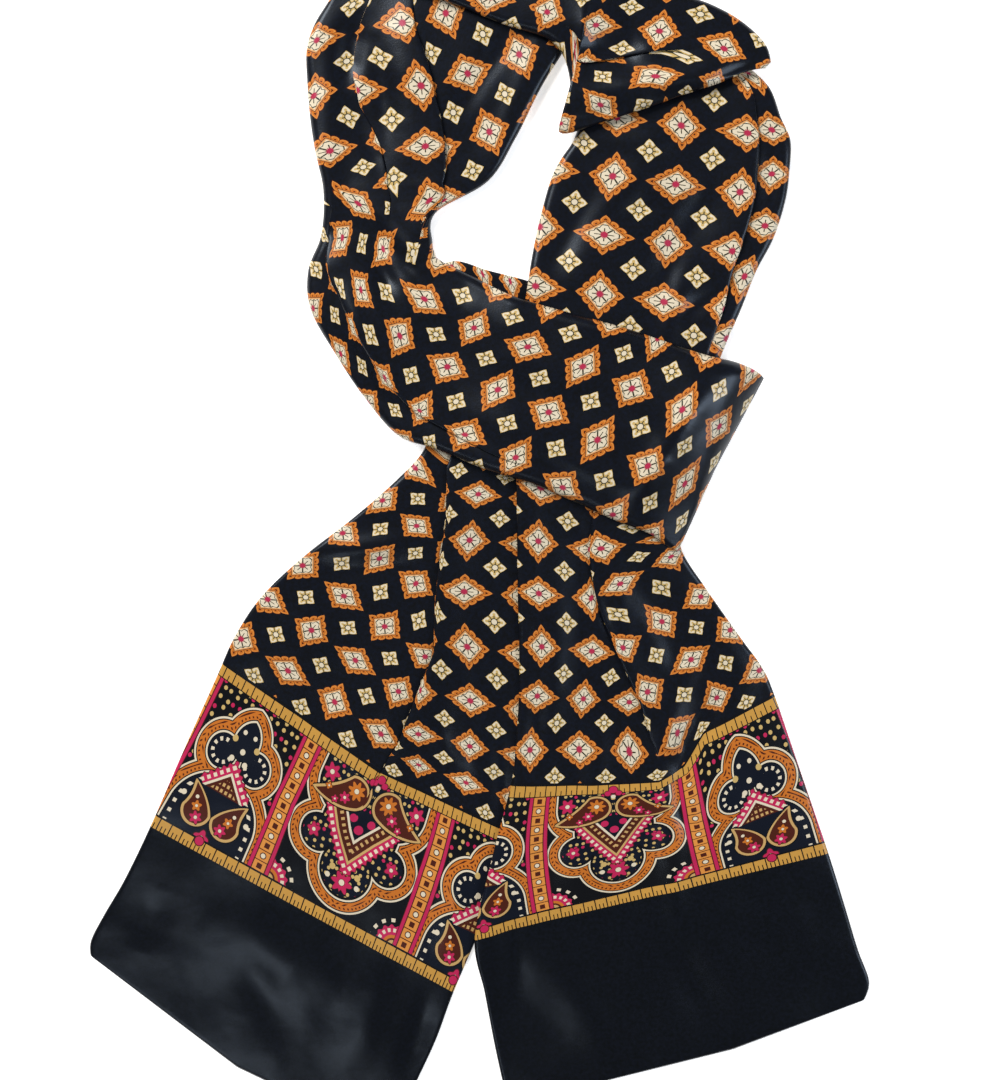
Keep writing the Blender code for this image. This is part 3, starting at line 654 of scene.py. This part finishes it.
def make_cloth(name, rings, cloths, material):
    """An open tube of cloth through the rings, with its print coordinates."""
    stations, around = rings.shape[:2]
    points = rings.reshape(-1, 3).copy()
    points[:, 0] -= PLAN_CENTRE[0]
    points[:, 1] -= PLAN_CENTRE[1]
    points /= 1000.0
    k = np.arange(around)
    after = (k + 1) % around
    quads = []
    corners = []
    for s in range(stations - 1):
        a, b = s * around, (s + 1) * around
        quads.append(np.column_stack([a + k, b + k, b + after, a + after]))
        c, d = s * (around + 1), (s + 1) * (around + 1)
        corners.append(np.column_stack([c + k, d + k, d + k + 1, c + k + 1]))
    quads = np.vstack(quads)
    corners = np.vstack(corners)
    data = bpy.data.meshes.new(name)
    data.from_pydata([tuple(p) for p in points], [], [tuple(q) for q in quads.tolist()])
    layer = data.uv_layers.new(name="cloth")
    layer.data.foreach_set("uv", cloths.reshape(-1, 2)[corners.reshape(-1)].astype(np.float32).reshape(-1))
    data.shade_smooth()
    data.materials.append(material)
    cloth = bpy.data.objects.new(name, data)
    bpy.context.scene.collection.objects.link(cloth)
    return cloth


class Field:
    """A number that varies over the cloth, held as a socket of a node tree."""

    tree = None

    def __init__(self, socket):
        self.socket = socket

    @classmethod
    def math(cls, operation, *values):
        """A math node of the current tree."""
        node = cls.tree.nodes.new("ShaderNodeMath")
        node.operation = operation
        for slot, value in zip(node.inputs, values):
            if isinstance(value, Field):
                cls.tree.links.new(value.socket, slot)
            else:
                slot.default_value = float(value)
        return Field(node.outputs[0])

    def __add__(self, other):
        return Field.math("ADD", self, other)

    def __radd__(self, other):
        return Field.math("ADD", other, self)

    def __sub__(self, other):
        return Field.math("SUBTRACT", self, other)

    def __rsub__(self, other):
        return Field.math("SUBTRACT", other, self)

    def __mul__(self, other):
        return Field.math("MULTIPLY", self, other)

    def __rmul__(self, other):
        return Field.math("MULTIPLY", other, self)

    def __truediv__(self, other):
        return Field.math("DIVIDE", self, other)

    def __lt__(self, other):
        return Field.math("LESS_THAN", self, other)

    def __gt__(self, other):
        return Field.math("GREATER_THAN", self, other)

    def __abs__(self):
        return Field.math("ABSOLUTE", self)


def floor_of(a):
    """The whole number at or below."""
    return Field.math("FLOOR", a)


def root(a):
    """Square root."""
    return Field.math("SQRT", a)


def least(a, b):
    """The smaller of two."""
    return Field.math("MINIMUM", a, b)


def most(a, b):
    """The larger of two."""
    return Field.math("MAXIMUM", a, b)


def cosine(a):
    """Cosine of an angle in radians."""
    return Field.math("COSINE", a)


def reach(x, y):
    """Distance from the origin."""
    return root(x * x + y * y)


def between(a, low, high):
    """1 where the value lies between the limits."""
    return Field.math("COMPARE", a, (low + high) / 2, (high - low) / 2)


def layered(under, over, mask):
    """The colour over another where the mask is 1. Each is a socket or a colour."""
    node = Field.tree.nodes.new("ShaderNodeMix")
    node.data_type = "RGBA"
    for slot, value in ((node.inputs[6], under), (node.inputs[7], over)):
        if isinstance(value, tuple):
            slot.default_value = (*value, 1.0)
        else:
            Field.tree.links.new(value, slot)
    Field.tree.links.new(mask.socket, node.inputs[0])
    return node.outputs[2]


def stacked(ink, *layers):
    """The ink with layers over it, each as (colour, mask)."""
    for over, mask in layers:
        ink = layered(ink, over, mask)
    return ink


# Colours of the print
BLACK = (0.004, 0.004, 0.005)
GROUND_DARK = (0.0035, 0.0035, 0.004)
GROUND_BLUE = (0.0045, 0.006, 0.012)
PLAIN_DARK = (0.002, 0.0025, 0.003)
PLAIN_BLUE = (0.004, 0.005, 0.009)
OUTLINE = (0.045, 0.008, 0.004)
ORANGE = (0.46, 0.135, 0.018)
PALE_ORANGE = (0.56, 0.22, 0.045)
PEACH = (0.58, 0.30, 0.12)
CREAM = (0.60, 0.53, 0.40)
STRAW = (0.47, 0.33, 0.12)
TAN = (0.46, 0.29, 0.11)
LEAF_BLACK = (0.030, 0.028, 0.014)
BROWN = (0.060, 0.012, 0.006)
CRIMSON = (0.36, 0.022, 0.060)
MAGENTA = (0.42, 0.016, 0.075)
GOLD = (0.46, 0.245, 0.050)

# Heights of the border in the cloth's own V, and its sizes in millimetres
LATTICE_LOW = 0.38        # V below which the lattice stops
BAND_TOP = 0.32           # upper edge of the upper gold band
CELL_U = 42.0             # one cell across the scarf
CELL_V = 39.6             # one cell along it
BAND_WIDE = 8.0           # a gold band
BORDER_LONG = 101.0       # between the two gold bands
AXIS_ARCH = 0.9           # U of the upright arches' axis
PERIOD = 4.9              # from one upright arch to the next
COLUMN_AT = 1.05          # cells from an arch's axis to the column beside it
TICK = 8.5                # spacing of the full ticks on a gold band
HANGING_HALF = 50.6       # from the hanging arch's axis to the column's near stripe
DARK_LINE = 0.7           # dark outline of a motif
SQUARE_STEP = 7.7         # from one square of a column to the next
GROUND_SCALE = 420.0      # of the ground's soft mottling

# Half diagonals of the medallions, across and along the scarf, and of the flowers, in cells
WIDE_HALF = (0.4925, 0.345)
TALL_HALF = (0.39, 0.435)
FLOWER_HALF = 0.205
SIDE_TURNS = 3 * math.pi  # waves of the inner outline along half a side
ARMS = 4 * math.pi        # arms of the star at the middle


def medallions(u, v, ink, turned):
    """Scalloped diamonds on the lattice points, wide and tall ones by turns."""
    column = floor_of(u + 0.5)
    line = floor_of(v + 0.5)
    half = (column + line + turned) * 0.5
    tall = (half - floor_of(half)) > 0.25
    across = abs(u - column)
    along = abs(v - line)
    p = across / (WIDE_HALF[0] + (TALL_HALF[0] - WIDE_HALF[0]) * tall)
    q = along / (WIDE_HALF[1] + (TALL_HALF[1] - WIDE_HALF[1]) * tall)
    s = p + q
    t = (p - q) / most(s, 0.05)
    # lobes: two to a side and a pointed one at each corner
    beat = 1.5 - 1.5 * Field.math("POWER", most(1 - abs(t), 0), 1.25)
    lobe = abs(beat - floor_of(beat) - 0.5) * 2
    edge = 0.82 + 0.17 * root(most(1 - lobe * lobe, 0)) - 0.02 * t * t
    inner = reach((s - 0.80) * 5.4, lobe * 1.05)
    bead = reach((s - 0.785) * 11, lobe * 1.5)
    wave = 0.035 * cosine(t * SIDE_TURNS)
    far = reach(across, along)
    return stacked(
        ink,
        (OUTLINE, s < edge + 0.04),
        (ORANGE, (s < edge) * (lobe < 0.93)),
        (PALE_ORANGE, between(inner, 0.70, 0.93) * (s > 0.80)),
        (OUTLINE, bead < 0.42),
        # the diamond's frame
        (OUTLINE, s < 0.70),
        (PEACH, s < 0.665),
        (CREAM, s < 0.585),
        (LEAF_BLACK, between(s - wave, 0.50, 0.55)),
        # spokes and centre
        (LEAF_BLACK, (abs(p - q) < 0.045) * (s < 0.52)),
        (LEAF_BLACK, (least(p, q) < 0.020) * (s < 0.33)),
        (CRIMSON, far < 0.056 + 0.014 * cosine(t * ARMS)),
    )


def blossoms(u, v, ink):
    """Small flowers of four petals in the middle of each cell."""
    across = abs(u - floor_of(u) - 0.5)
    along = abs(v - floor_of(v) - 0.5)
    s = (across + along) / FLOWER_HALF
    t = abs(across - along) / FLOWER_HALF
    far = reach(across, along)
    edge = 0.90 + 0.10 * least(t * 2, 1)
    return stacked(
        ink,
        (BLACK, s < edge + 0.12),
        (STRAW, s < edge),
        (CREAM, (s > 0.62) * (s < edge - 0.05) * (t > 0.16) * (t < 0.85)),
        (STRAW, reach(t - 0.62, s - 0.62) < 0.17),
        (LEAF_BLACK, (t < 0.055) * (s < edge + 0.06)),
        (LEAF_BLACK, (least(across, along) < 0.009) * between(far, 0.06, 0.105)),
        (LEAF_BLACK, far < 0.062),
        (CREAM, far < 0.047),
    )


# Motifs of the upright arch, from its axis and down from the upper gold band, in millimetres.
# Columns: x, y, radius, colour
ARCH_DOTS = (
    (4.4, 22, 1.6, CREAM),
    (9.4, 28.6, 2.2, STRAW),
)
ARCH_PEAK_DOTS = (
    (0, 34, 2, CREAM),
    (5.6, 41, 2, CREAM),
)
ARCH_LOW_DOTS = (
    (15, 75.4, 1.3, CREAM),
    (25, 77, 1.9, CREAM),
)
# Columns: x, y, radius, petals, colour
ARCH_FLOWERS = (
    (9.6, 88.6, 4.6, 6, MAGENTA),
    (12.6, 81.2, 3.8, 5, ORANGE),
)
ARCH_BUD = (0, 99, 5.4, 4, MAGENTA)

# Motifs of the hanging arch, in the same columns
HANGING_FLOWERS = (
    (13, 13, 7.2, 8, ORANGE),
    (19.5, 21.5, 4.4, 6, MAGENTA),
    (26, 26, 2.8, 5, MAGENTA),
    (36, 10.5, 6.6, 6, MAGENTA),
    (34, 20, 2.6, 4, ORANGE),
    (31.5, 53, 5.2, 5, MAGENTA),
    (0, 78, 8.2, 7, MAGENTA),
)
HANGING_DOTS = (
    (10, 70, 2.3, STRAW),
    (11.8, 77, 1.9, CREAM),
)
# Columns: x, y, radius
SHIELD_PETALS = ((0, 38, 3.4), (7, 31, 3))
BAND_BUDS = ((0, -3, 3.4), (4.4, 0.6, 2.4))


def disc(x, y, at_x, at_y, radius):
    """Distance outside a circle, less than 0 inside it."""
    return reach(x - at_x, y - at_y) - radius


def nearest(x, y, circles):
    """Distance outside the nearest of some circles."""
    first, *others = circles
    distance = disc(x, y, *first)
    for circle in others:
        distance = least(distance, disc(x, y, *circle))
    return distance


def dotted(x, y, dots, ink):
    """Round dots from a table."""
    for at_x, at_y, radius, fill in dots:
        ink = layered(ink, fill, disc(x, y, at_x, at_y, radius) < 0)
    return ink


def repeat(a, step):
    """Distance to the middle of a repeated span."""
    turn = a / step
    return abs(turn - floor_of(turn) - 0.5) * step


def gold_band(x, y, ink, short):
    """A gold band whose upper edge is at y = 0, with full ticks and shorter ones between them."""
    edge = Field.math("COMPARE", y, BAND_WIDE / 2, BAND_WIDE / 2 + 0.7)
    ink = layered(ink, BLACK, edge)
    ink = layered(ink, GOLD, between(y, 0, BAND_WIDE))
    tick = TICK / 2 - repeat(x, TICK)
    ink = layered(ink, BLACK, (tick < 0.42) * edge)
    part = TICK / (short + 1)
    small = part / 2 - repeat(x, part)
    return layered(ink, BLACK, (small < 0.36) * (y > BAND_WIDE * 0.52) * edge)


def flowered(x, y, flowers, ink):
    """Round flowers from a table, each with petals, a dark outline and a pale centre."""
    for at_x, at_y, radius, petals, fill in flowers:
        across = x - at_x
        down = y - at_y
        far = reach(across, down)
        angle = Field.math("ARCTAN2", down, across)
        rim = radius * (0.80 + 0.20 * cosine(angle * float(petals)))
        ink = layered(ink, BROWN, far < rim + DARK_LINE)
        ink = layered(ink, fill, (far < rim) * (far > radius * 0.3))
        ink = layered(ink, CREAM, far < radius * 0.26)
    return ink


def framed(distance, x, y, ink):
    """A lobed frame round a form: cream lines on both sides of an orange band with small marks."""
    ink = stacked(
        ink,
        (BLACK, between(distance, -0.6, 10.6)),
        (CREAM, between(distance, 0, 1.25)),
        (ORANGE, between(distance, 2, 7.8)),
    )
    for slanted, low in ((x + y, 2.9), (x - y, 5.5)):
        ink = layered(ink, BROWN, (repeat(slanted, 4.2) < 0.8) * between(distance, low, low + 1.4))
    return layered(ink, CREAM, between(distance, 8.5, 9.8))


def paisley(a, b, longest, radius, bend, ink):
    """A teardrop from its round end along a, bent aside along b, with a tan outline."""
    w = least(most(a / longest, 0), 0.999)
    middle = b - bend * w * w
    thin = Field.math("POWER", 1 - w, 0.72)
    distance = reach(most(0 - a, 0), middle) - radius * thin
    shown = a < longest
    return stacked(
        ink,
        (BLACK, (distance < 0.9) * shown),
        (TAN, (distance < 0) * shown),
        (BROWN, distance < -1.9),
    )


def buds(x, y, size, ink):
    """Small straw buds strewn over the ground, a few of them crimson."""
    grain = Field.tree.nodes.new("ShaderNodeCombineXYZ")
    Field.tree.links.new((x / size).socket, grain.inputs[0])
    Field.tree.links.new((y / size).socket, grain.inputs[1])
    cells = Field.tree.nodes.new("ShaderNodeTexVoronoi")
    cells.voronoi_dimensions = "2D"
    cells.inputs["Scale"].default_value = 1.0
    cells.inputs["Randomness"].default_value = 0.55
    Field.tree.links.new(grain.outputs[0], cells.inputs["Vector"])
    near = Field(cells.outputs["Distance"])
    tone = Field.tree.nodes.new("ShaderNodeSeparateColor")
    Field.tree.links.new(cells.outputs["Color"], tone.inputs[0])
    ink = layered(ink, STRAW, near < 0.24)
    return layered(ink, MAGENTA, (near < 0.24) * (Field(tone.outputs[0]) > 0.84))


def scalloped_wedge(depth, run, ink, top):
    """A crimson band with cream squares along a wedge, outside its tan or cream line."""
    edge = 7.4 + 0.9 * cosine(run * (2 * math.pi / 5))
    return stacked(
        ink,
        (BROWN, (depth < edge + 0.7) * (depth > -0.3)),
        (MAGENTA, (depth < edge) * (depth > 1.8)),
        (CREAM, (repeat(run, 5) < 1.3) * between(depth, 3.2, 5.9)),
        (top, between(depth, 0, 1.7)),
    )


def arch_panel(x, y, ink):
    """The upright arch, with x from its axis and y down from the upper gold band."""
    top = disc(x, y, -6, 27, 15.6)
    side = disc(x, y, 14, 40, 11.5)
    body = disc(x, least(y, 84), 2, 84, 30)
    inside = least(least(top, side), body)
    ink = buds(x, y + 2, 6.2, ink)
    ink = framed(inside, x, y, ink)
    ink = layered(ink, GROUND_BLUE, inside < -0.6)
    # cream buds along the inner edge
    beat = Field.math("ARCTAN2", y - 40, x - 14)
    lobe_only = (body > 3) * (top > 3)
    ink = layered(ink, CREAM, (repeat(beat, 0.62) < 0.14) * between(side, -5.2, -2.6) * lobe_only)
    ink = layered(ink, CREAM, (repeat(y, 7.4) < 1.3) * between(body, -5.4, -2.8) * (y > 62))
    ink = dotted(x, y, ARCH_DOTS, ink)
    # crimson peak over the small cream one
    slant = math.sqrt(0.5)
    depth = (52 + x - y) * slant
    run = (x + y) * slant
    under = (y < 66) * (run < 58)
    peak = scalloped_wedge(depth, run, ink, CREAM)
    ink = stacked(
        ink,
        (peak, under * (depth < 9)),
        (BROWN, under * (depth < 0)),
        (TAN, under * (depth < -2) * (repeat(x, 3.6) < 1) * (repeat(y, 4.4) < 1.2)),
    )
    ink = dotted(x, y, ARCH_PEAK_DOTS, ink)
    # the pair of paisleys
    ink = paisley(84 - y, x - 11.3, 19, 11, 10, ink)
    ink = flowered(x, y, ARCH_FLOWERS, ink)
    ink = dotted(x, y, ARCH_LOW_DOTS, ink)
    return flowered(x, y, (ARCH_BUD,), ink)


def hanging_panel(x, y, ink):
    """The hanging arch, with x from its axis and y down from the upper gold band."""
    upper = disc(x, most(y, 12), 20, 12, 23.6)
    side = disc(x, y, 28, 53, 13.5)
    low = disc(x, y, 0, 69, 20)
    core = disc(x, y, 0, 36, 30)
    inside = least(least(upper, side), least(low, core))
    ink = framed(inside, x, y, ink)
    ink = layered(ink, buds(x, y, 5.4, GROUND_BLUE), inside < -1.8)
    # quarter rosette at the foot of the column
    from_column = x - HANGING_HALF
    far = reach(from_column, y - BORDER_LONG)
    turn = Field.math("ARCTAN2", y - BORDER_LONG, from_column)
    outside = inside > 11.2
    ink = stacked(
        ink,
        (MAGENTA, outside * (far < 14 + 0.8 * cosine(turn * 16))),
        (CREAM, outside * between(far, 9.6, 12.2) * (repeat(turn, 0.39) < 0.10)),
        (ORANGE, outside * (far < 7.6)),
        (BROWN, outside * (far < 5.4)),
        (TAN, outside * (far < 4)),
        (CREAM, outside * between(far, 16.4, 19) * (repeat(turn, 0.42) < 0.085)),
    )
    # shield that points down
    depth = (y + 1.4 * x - 62) * 0.581
    run = (x - 1.4 * y) * 0.581
    shield = scalloped_wedge(depth, run, ink, TAN)
    within = (inside < -1.2) * (y > 24)
    ink = stacked(
        ink,
        (shield, within * (depth < 9)),
        (BROWN, within * (depth < 0)),
        (TAN, within * (repeat(run, 4.6) < 1) * between(depth, -5.4, -2.6)),
        (CREAM, within * (depth < -7.4)),
        (GROUND_BLUE, within * (depth < -9.2)),
        (MAGENTA, nearest(x, y, SHIELD_PETALS) < 0),
    )
    # large paisleys
    a = (x - 14) * 0.90 + (y - 15) * 0.44
    b = (y - 15) * 0.90 - (x - 14) * 0.44
    bent = least(most(a / 33, 0), 1)
    ink = paisley(a, b - 9 * bent, 33, 12.6, -13, ink)
    ink = flowered(x, y, HANGING_FLOWERS, ink)
    ink = dotted(x, y, HANGING_DOTS, ink)
    # bud over the upper gold band
    bud = nearest(x, y, BAND_BUDS)
    return stacked(
        ink,
        (BROWN, bud < DARK_LINE),
        (MAGENTA, bud < 0),
        (CREAM, disc(x, y, 0, 4, 1.9) < 0),
    )


def column_panel(x, y, ink):
    """A column of squares between two crimson stripes, with x from its middle."""
    side = abs(x)
    ink = stacked(
        ink,
        (BROWN, side < 8.4),
        (MAGENTA, between(side, 5.4, 7.9)),
        (PALE_ORANGE, side < 4.6),
    )
    turn = y / (SQUARE_STEP * 2)
    place = (turn - floor_of(turn)) * SQUARE_STEP * 2
    dark = most(side, abs(place - SQUARE_STEP * 0.5)) < 1.9
    ring = reach(side, place - SQUARE_STEP * 1.5)
    return stacked(
        ink,
        (BROWN, (repeat(y, SQUARE_STEP) > SQUARE_STEP / 2 - 0.35) * (side < 4.6)),
        (BROWN, dark),
        (BROWN, ring < 2.4),
        (CREAM, ring < 1.7),
    )


def border(u, v, ink):
    """The border between and with its two gold bands, and plain satin below."""
    turn = (u - AXIS_ARCH + PERIOD / 2) / PERIOD
    s = abs((turn - floor_of(turn)) * PERIOD - PERIOD / 2)
    y = (BAND_TOP - v) * CELL_V - BAND_WIDE
    x_arch = s * CELL_U
    x_column = (s - COLUMN_AT) * CELL_U
    x_hanging = (PERIOD / 2 - s) * CELL_U
    ink = layered(ink, BLACK, v < LATTICE_LOW)
    panel = arch_panel(x_arch, y, BLACK)
    hanging = hanging_panel(x_hanging, y, BLACK)
    panel = layered(panel, hanging, x_column > 0)
    panel = column_panel(x_column, y, panel)
    x_run = u * CELL_U
    ink = gold_band(x_run, y + BAND_WIDE, ink, 1)
    shown = between(y, 0.7, BORDER_LONG - 1.4)
    ink = layered(ink, panel, shown)
    ink = gold_band(x_run, y - BORDER_LONG, ink, 2)
    over = least(nearest(x_hanging, y, BAND_BUDS), disc(x_arch, y, 0, BORDER_LONG + 0.5, 3))
    ink = layered(ink, BROWN, over < DARK_LINE)
    return layered(ink, MAGENTA, over < 0)


def mottled(dark, light, scale):
    """A ground colour that varies softly between two tones."""
    noise = Field.tree.nodes.new("ShaderNodeTexNoise")
    noise.inputs["Scale"].default_value = scale
    noise.inputs["Detail"].default_value = 4.0
    spots = Field.tree.nodes.new("ShaderNodeTexCoord")
    Field.tree.links.new(spots.outputs["Object"], noise.inputs["Vector"])
    ramp = Field.tree.nodes.new("ShaderNodeValToRGB")
    ramp.color_ramp.elements[0].position = 0.30
    ramp.color_ramp.elements[0].color = (*dark, 1)
    ramp.color_ramp.elements[1].position = 0.72
    ramp.color_ramp.elements[1].color = (*light, 1)
    Field.tree.links.new(noise.outputs[0], ramp.inputs[0])
    return ramp.outputs[0]


# Relief of the satin, from its soft swells to its weave.
# Columns: noise scale, detail, strength, depth in metres
SURFACE = (
    (15.0, 1.0, 0.50, 0.010),
    (60.0, 1.0, 0.25, 0.0012),
    (900.0, 2.0, 0.15, 0.0003),
)


def satin_material(name, bordered, turned):
    """Printed satin: the lattice, with its medallions in turned order or not, and the border."""
    material = bpy.data.materials.new(name)
    material.use_nodes = True
    tree = material.node_tree
    Field.tree = tree
    shader = tree.nodes["Principled BSDF"]
    shader.inputs["Roughness"].default_value = 0.31
    shader.inputs["Specular IOR Level"].default_value = 0.25
    shader.inputs["Specular Tint"].default_value = (0.72, 0.84, 1.0, 1.0)
    uv = tree.nodes.new("ShaderNodeUVMap")
    uv.uv_map = "cloth"
    parts = tree.nodes.new("ShaderNodeSeparateXYZ")
    tree.links.new(uv.outputs[0], parts.inputs[0])
    u = Field(parts.outputs[0])
    v = Field(parts.outputs[1])
    ground = mottled(GROUND_DARK, GROUND_BLUE, GROUND_SCALE)
    ink = medallions(u, v, blossoms(u, v, ground), turned)
    if bordered:
        ink = border(u, v, ink)
        below = v < BAND_TOP - (BORDER_LONG + 2 * BAND_WIDE + 0.7) / CELL_V
        ink = layered(ink, mottled(PLAIN_DARK, PLAIN_BLUE, GROUND_SCALE), below)
    tree.links.new(ink, shader.inputs["Base Color"])
    place = tree.nodes.new("ShaderNodeTexCoord")
    surface = None
    for scale, detail, strength, deep in SURFACE:
        noise = tree.nodes.new("ShaderNodeTexNoise")
        noise.inputs["Scale"].default_value = scale
        noise.inputs["Detail"].default_value = detail
        tree.links.new(place.outputs["Object"], noise.inputs["Vector"])
        bump = tree.nodes.new("ShaderNodeBump")
        bump.inputs["Strength"].default_value = strength
        bump.inputs["Distance"].default_value = deep
        tree.links.new(noise.outputs[0], bump.inputs["Height"])
        if surface:
            tree.links.new(surface, bump.inputs["Normal"])
        surface = bump.outputs[0]
    tree.links.new(surface, shader.inputs["Normal"])
    return material


# The stretches in the order in which they are laid.
# Columns: solid, piece, rows, print, folds, creases, cloth, whether its start and its end are rolled
BACK_WRAP = ("back_wrap", "scarf_back_wrap", BEHIND, PRINT_BEHIND, (), CREASES_BEHIND,
             "printed_satin", True, False)
LEFT_TAIL = ("left_tail", "scarf_left_tail", TAIL_LEFT, PRINT_TAIL_LEFT, FOLDS_TAIL_LEFT,
             CREASES_TAIL_LEFT, "bordered_satin", False, True)
NECK_RIGHT = ("neck_right", "scarf_neck_right", LOOP_RIGHT, PRINT_LOOP_RIGHT, FOLDS_LOOP_RIGHT,
              CREASES_LOOP_RIGHT, "printed_satin", True, False)
RIGHT_TAIL = ("right_tail", "scarf_right_tail", TAIL_RIGHT, PRINT_TAIL_RIGHT, FOLDS_TAIL_RIGHT,
              CREASES_TAIL_RIGHT, "bordered_satin_right", False, True)
NECK_LEFT = ("neck_left", "scarf_neck_left_and_wrap", LOOP_LEFT, PRINT_LOOP_LEFT, FOLDS_LOOP_LEFT,
             CREASES_LOOP_LEFT, "printed_satin", True, True)
NECK_BACK = ("neck_back", "scarf_neck_back", LOOP_TOP, PRINT_LOOP_TOP, FOLDS_LOOP_TOP,
             CREASES_LOOP_TOP, "printed_satin", True, True)

# Columns: distance over which the cloth bridges what lies beneath it, stretches laid on that
LAYERS = (
    (10, (BACK_WRAP, LEFT_TAIL)),
    (14, (NECK_RIGHT, RIGHT_TAIL)),
    (16, (NECK_LEFT,)),
    (14, (NECK_BACK,)),
)
# Columns: cloth, whether it has the border, order of its medallions
CLOTHS = (
    ("printed_satin", False, 0.0),
    ("bordered_satin", True, 0.0),
    ("bordered_satin_right", True, 1.0),
)


def lay_scarf():
    """Lays the stretches in order, from the table top up."""
    materials = {cloth[0]: satin_material(*cloth) for cloth in CLOTHS}
    pile = Pile()
    made = {}
    for bridged, stretches in LAYERS:
        field = pile.draped(bridged)
        for node, name, rows, print_rows, folds, creases, cloth, *rolled in stretches:
            stretch = Stretch(rows, print_rows, folds, creases, field)
            rings, cloths, top = stretch.stations(*rolled)
            made[node] = make_cloth(name, rings, cloths, materials[cloth])
            pile.add(rings[:, :top])
    return made


# Flat size of each stretch: width of the cut, twice the folded width, and length, in metres
SHEETS = {
    "back_wrap": (("back_wrap",), (0.238, 0.235), []),
    "left_tail": (("left_tail",), (0.40, 0.485), []),
    "neck_right": (("neck_right",), (0.276, 0.258), ["back_wrap"]),
    "right_tail": (("right_tail",), (0.40, 0.442), ["back_wrap", "left_tail"]),
    "neck_left": (("neck_left", "front_wrap"), (0.236, 0.509), ["left_tail", "neck_right", "right_tail"]),
    "neck_back": (("neck_back",), (0.066, 0.27), ["neck_left", "neck_right"]),
}


def area_lamp(name, place, aim, size, power, colour):
    """A soft square lamp that faces a point."""
    data = bpy.data.lights.new(name, "AREA")
    data.shape = "SQUARE"
    data.size = size
    data.energy = power
    data.color = colour
    lamp = bpy.data.objects.new(name, data)
    lamp.location = place
    direction = Vector(aim) - Vector(place)
    lamp.rotation_euler = direction.to_track_quat("-Z", "Y").to_euler()
    bpy.context.scene.collection.objects.link(lamp)


def set_stage():
    """Pale floor, soft studio light and the camera."""
    data = bpy.data.meshes.new("floor")
    wide = 6.0
    corners = [(-wide, -wide, 0), (wide, -wide, 0), (wide, wide, 0), (-wide, wide, 0)]
    data.from_pydata(corners, [], [(0, 1, 2, 3)])
    material = bpy.data.materials.new("floor_paper")
    material.use_nodes = True
    shader = material.node_tree.nodes["Principled BSDF"]
    shader.inputs["Base Color"].default_value = (0.97, 0.97, 0.97, 1.0)
    shader.inputs["Roughness"].default_value = 1.0
    shader.inputs["Specular IOR Level"].default_value = 0.0
    shader.inputs["Emission Color"].default_value = (1.0, 1.0, 1.0, 1.0)
    shader.inputs["Emission Strength"].default_value = 0.55
    data.materials.append(material)
    floor = bpy.data.objects.new("floor", data)
    floor.location.z = -0.0004
    bpy.context.scene.collection.objects.link(floor)

    world = bpy.data.worlds.new("studio")
    world.use_nodes = True
    background = world.node_tree.nodes["Background"]
    background.inputs["Color"].default_value = (1.0, 1.0, 1.0, 1.0)
    background.inputs["Strength"].default_value = 0.13
    bpy.context.scene.world = world
    area_lamp("key", (-1.3, 1.7, 1.7), (0, 0, 0), 1.3, 104, (1.0, 0.96, 0.91))
    area_lamp("sheen", (-0.8, -1.7, 1.9), (-0.15, -0.2, 0), 0.6, 6, (0.94, 0.97, 1.0))
    area_lamp("fill", (1.9, -0.4, 1.5), (0, 0, 0), 1.1, 34, (0.86, 0.92, 1.0))

    distance = 1.0185
    tilt = math.radians(10)
    data = bpy.data.cameras.new("camera")
    data.lens = 54
    data.sensor_width = 36
    data.sensor_fit = "HORIZONTAL"
    camera = bpy.data.objects.new("camera", data)
    camera.location = (-PLAN_CENTRE[0] / 1000, -PLAN_CENTRE[1] / 1000 + distance * math.sin(tilt),
                       distance * math.cos(tilt))
    camera.rotation_euler = (-tilt, 0, 0)
    bpy.context.scene.collection.objects.link(camera)
    bpy.context.scene.camera = camera
    bpy.context.scene.view_settings.view_transform = "Standard"


pieces = lay_scarf()
for node, (nodes, flat, rests_on) in SHEETS.items():
    piece = pieces[node]
    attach(piece, "root")
    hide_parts(*nodes)
set_stage()
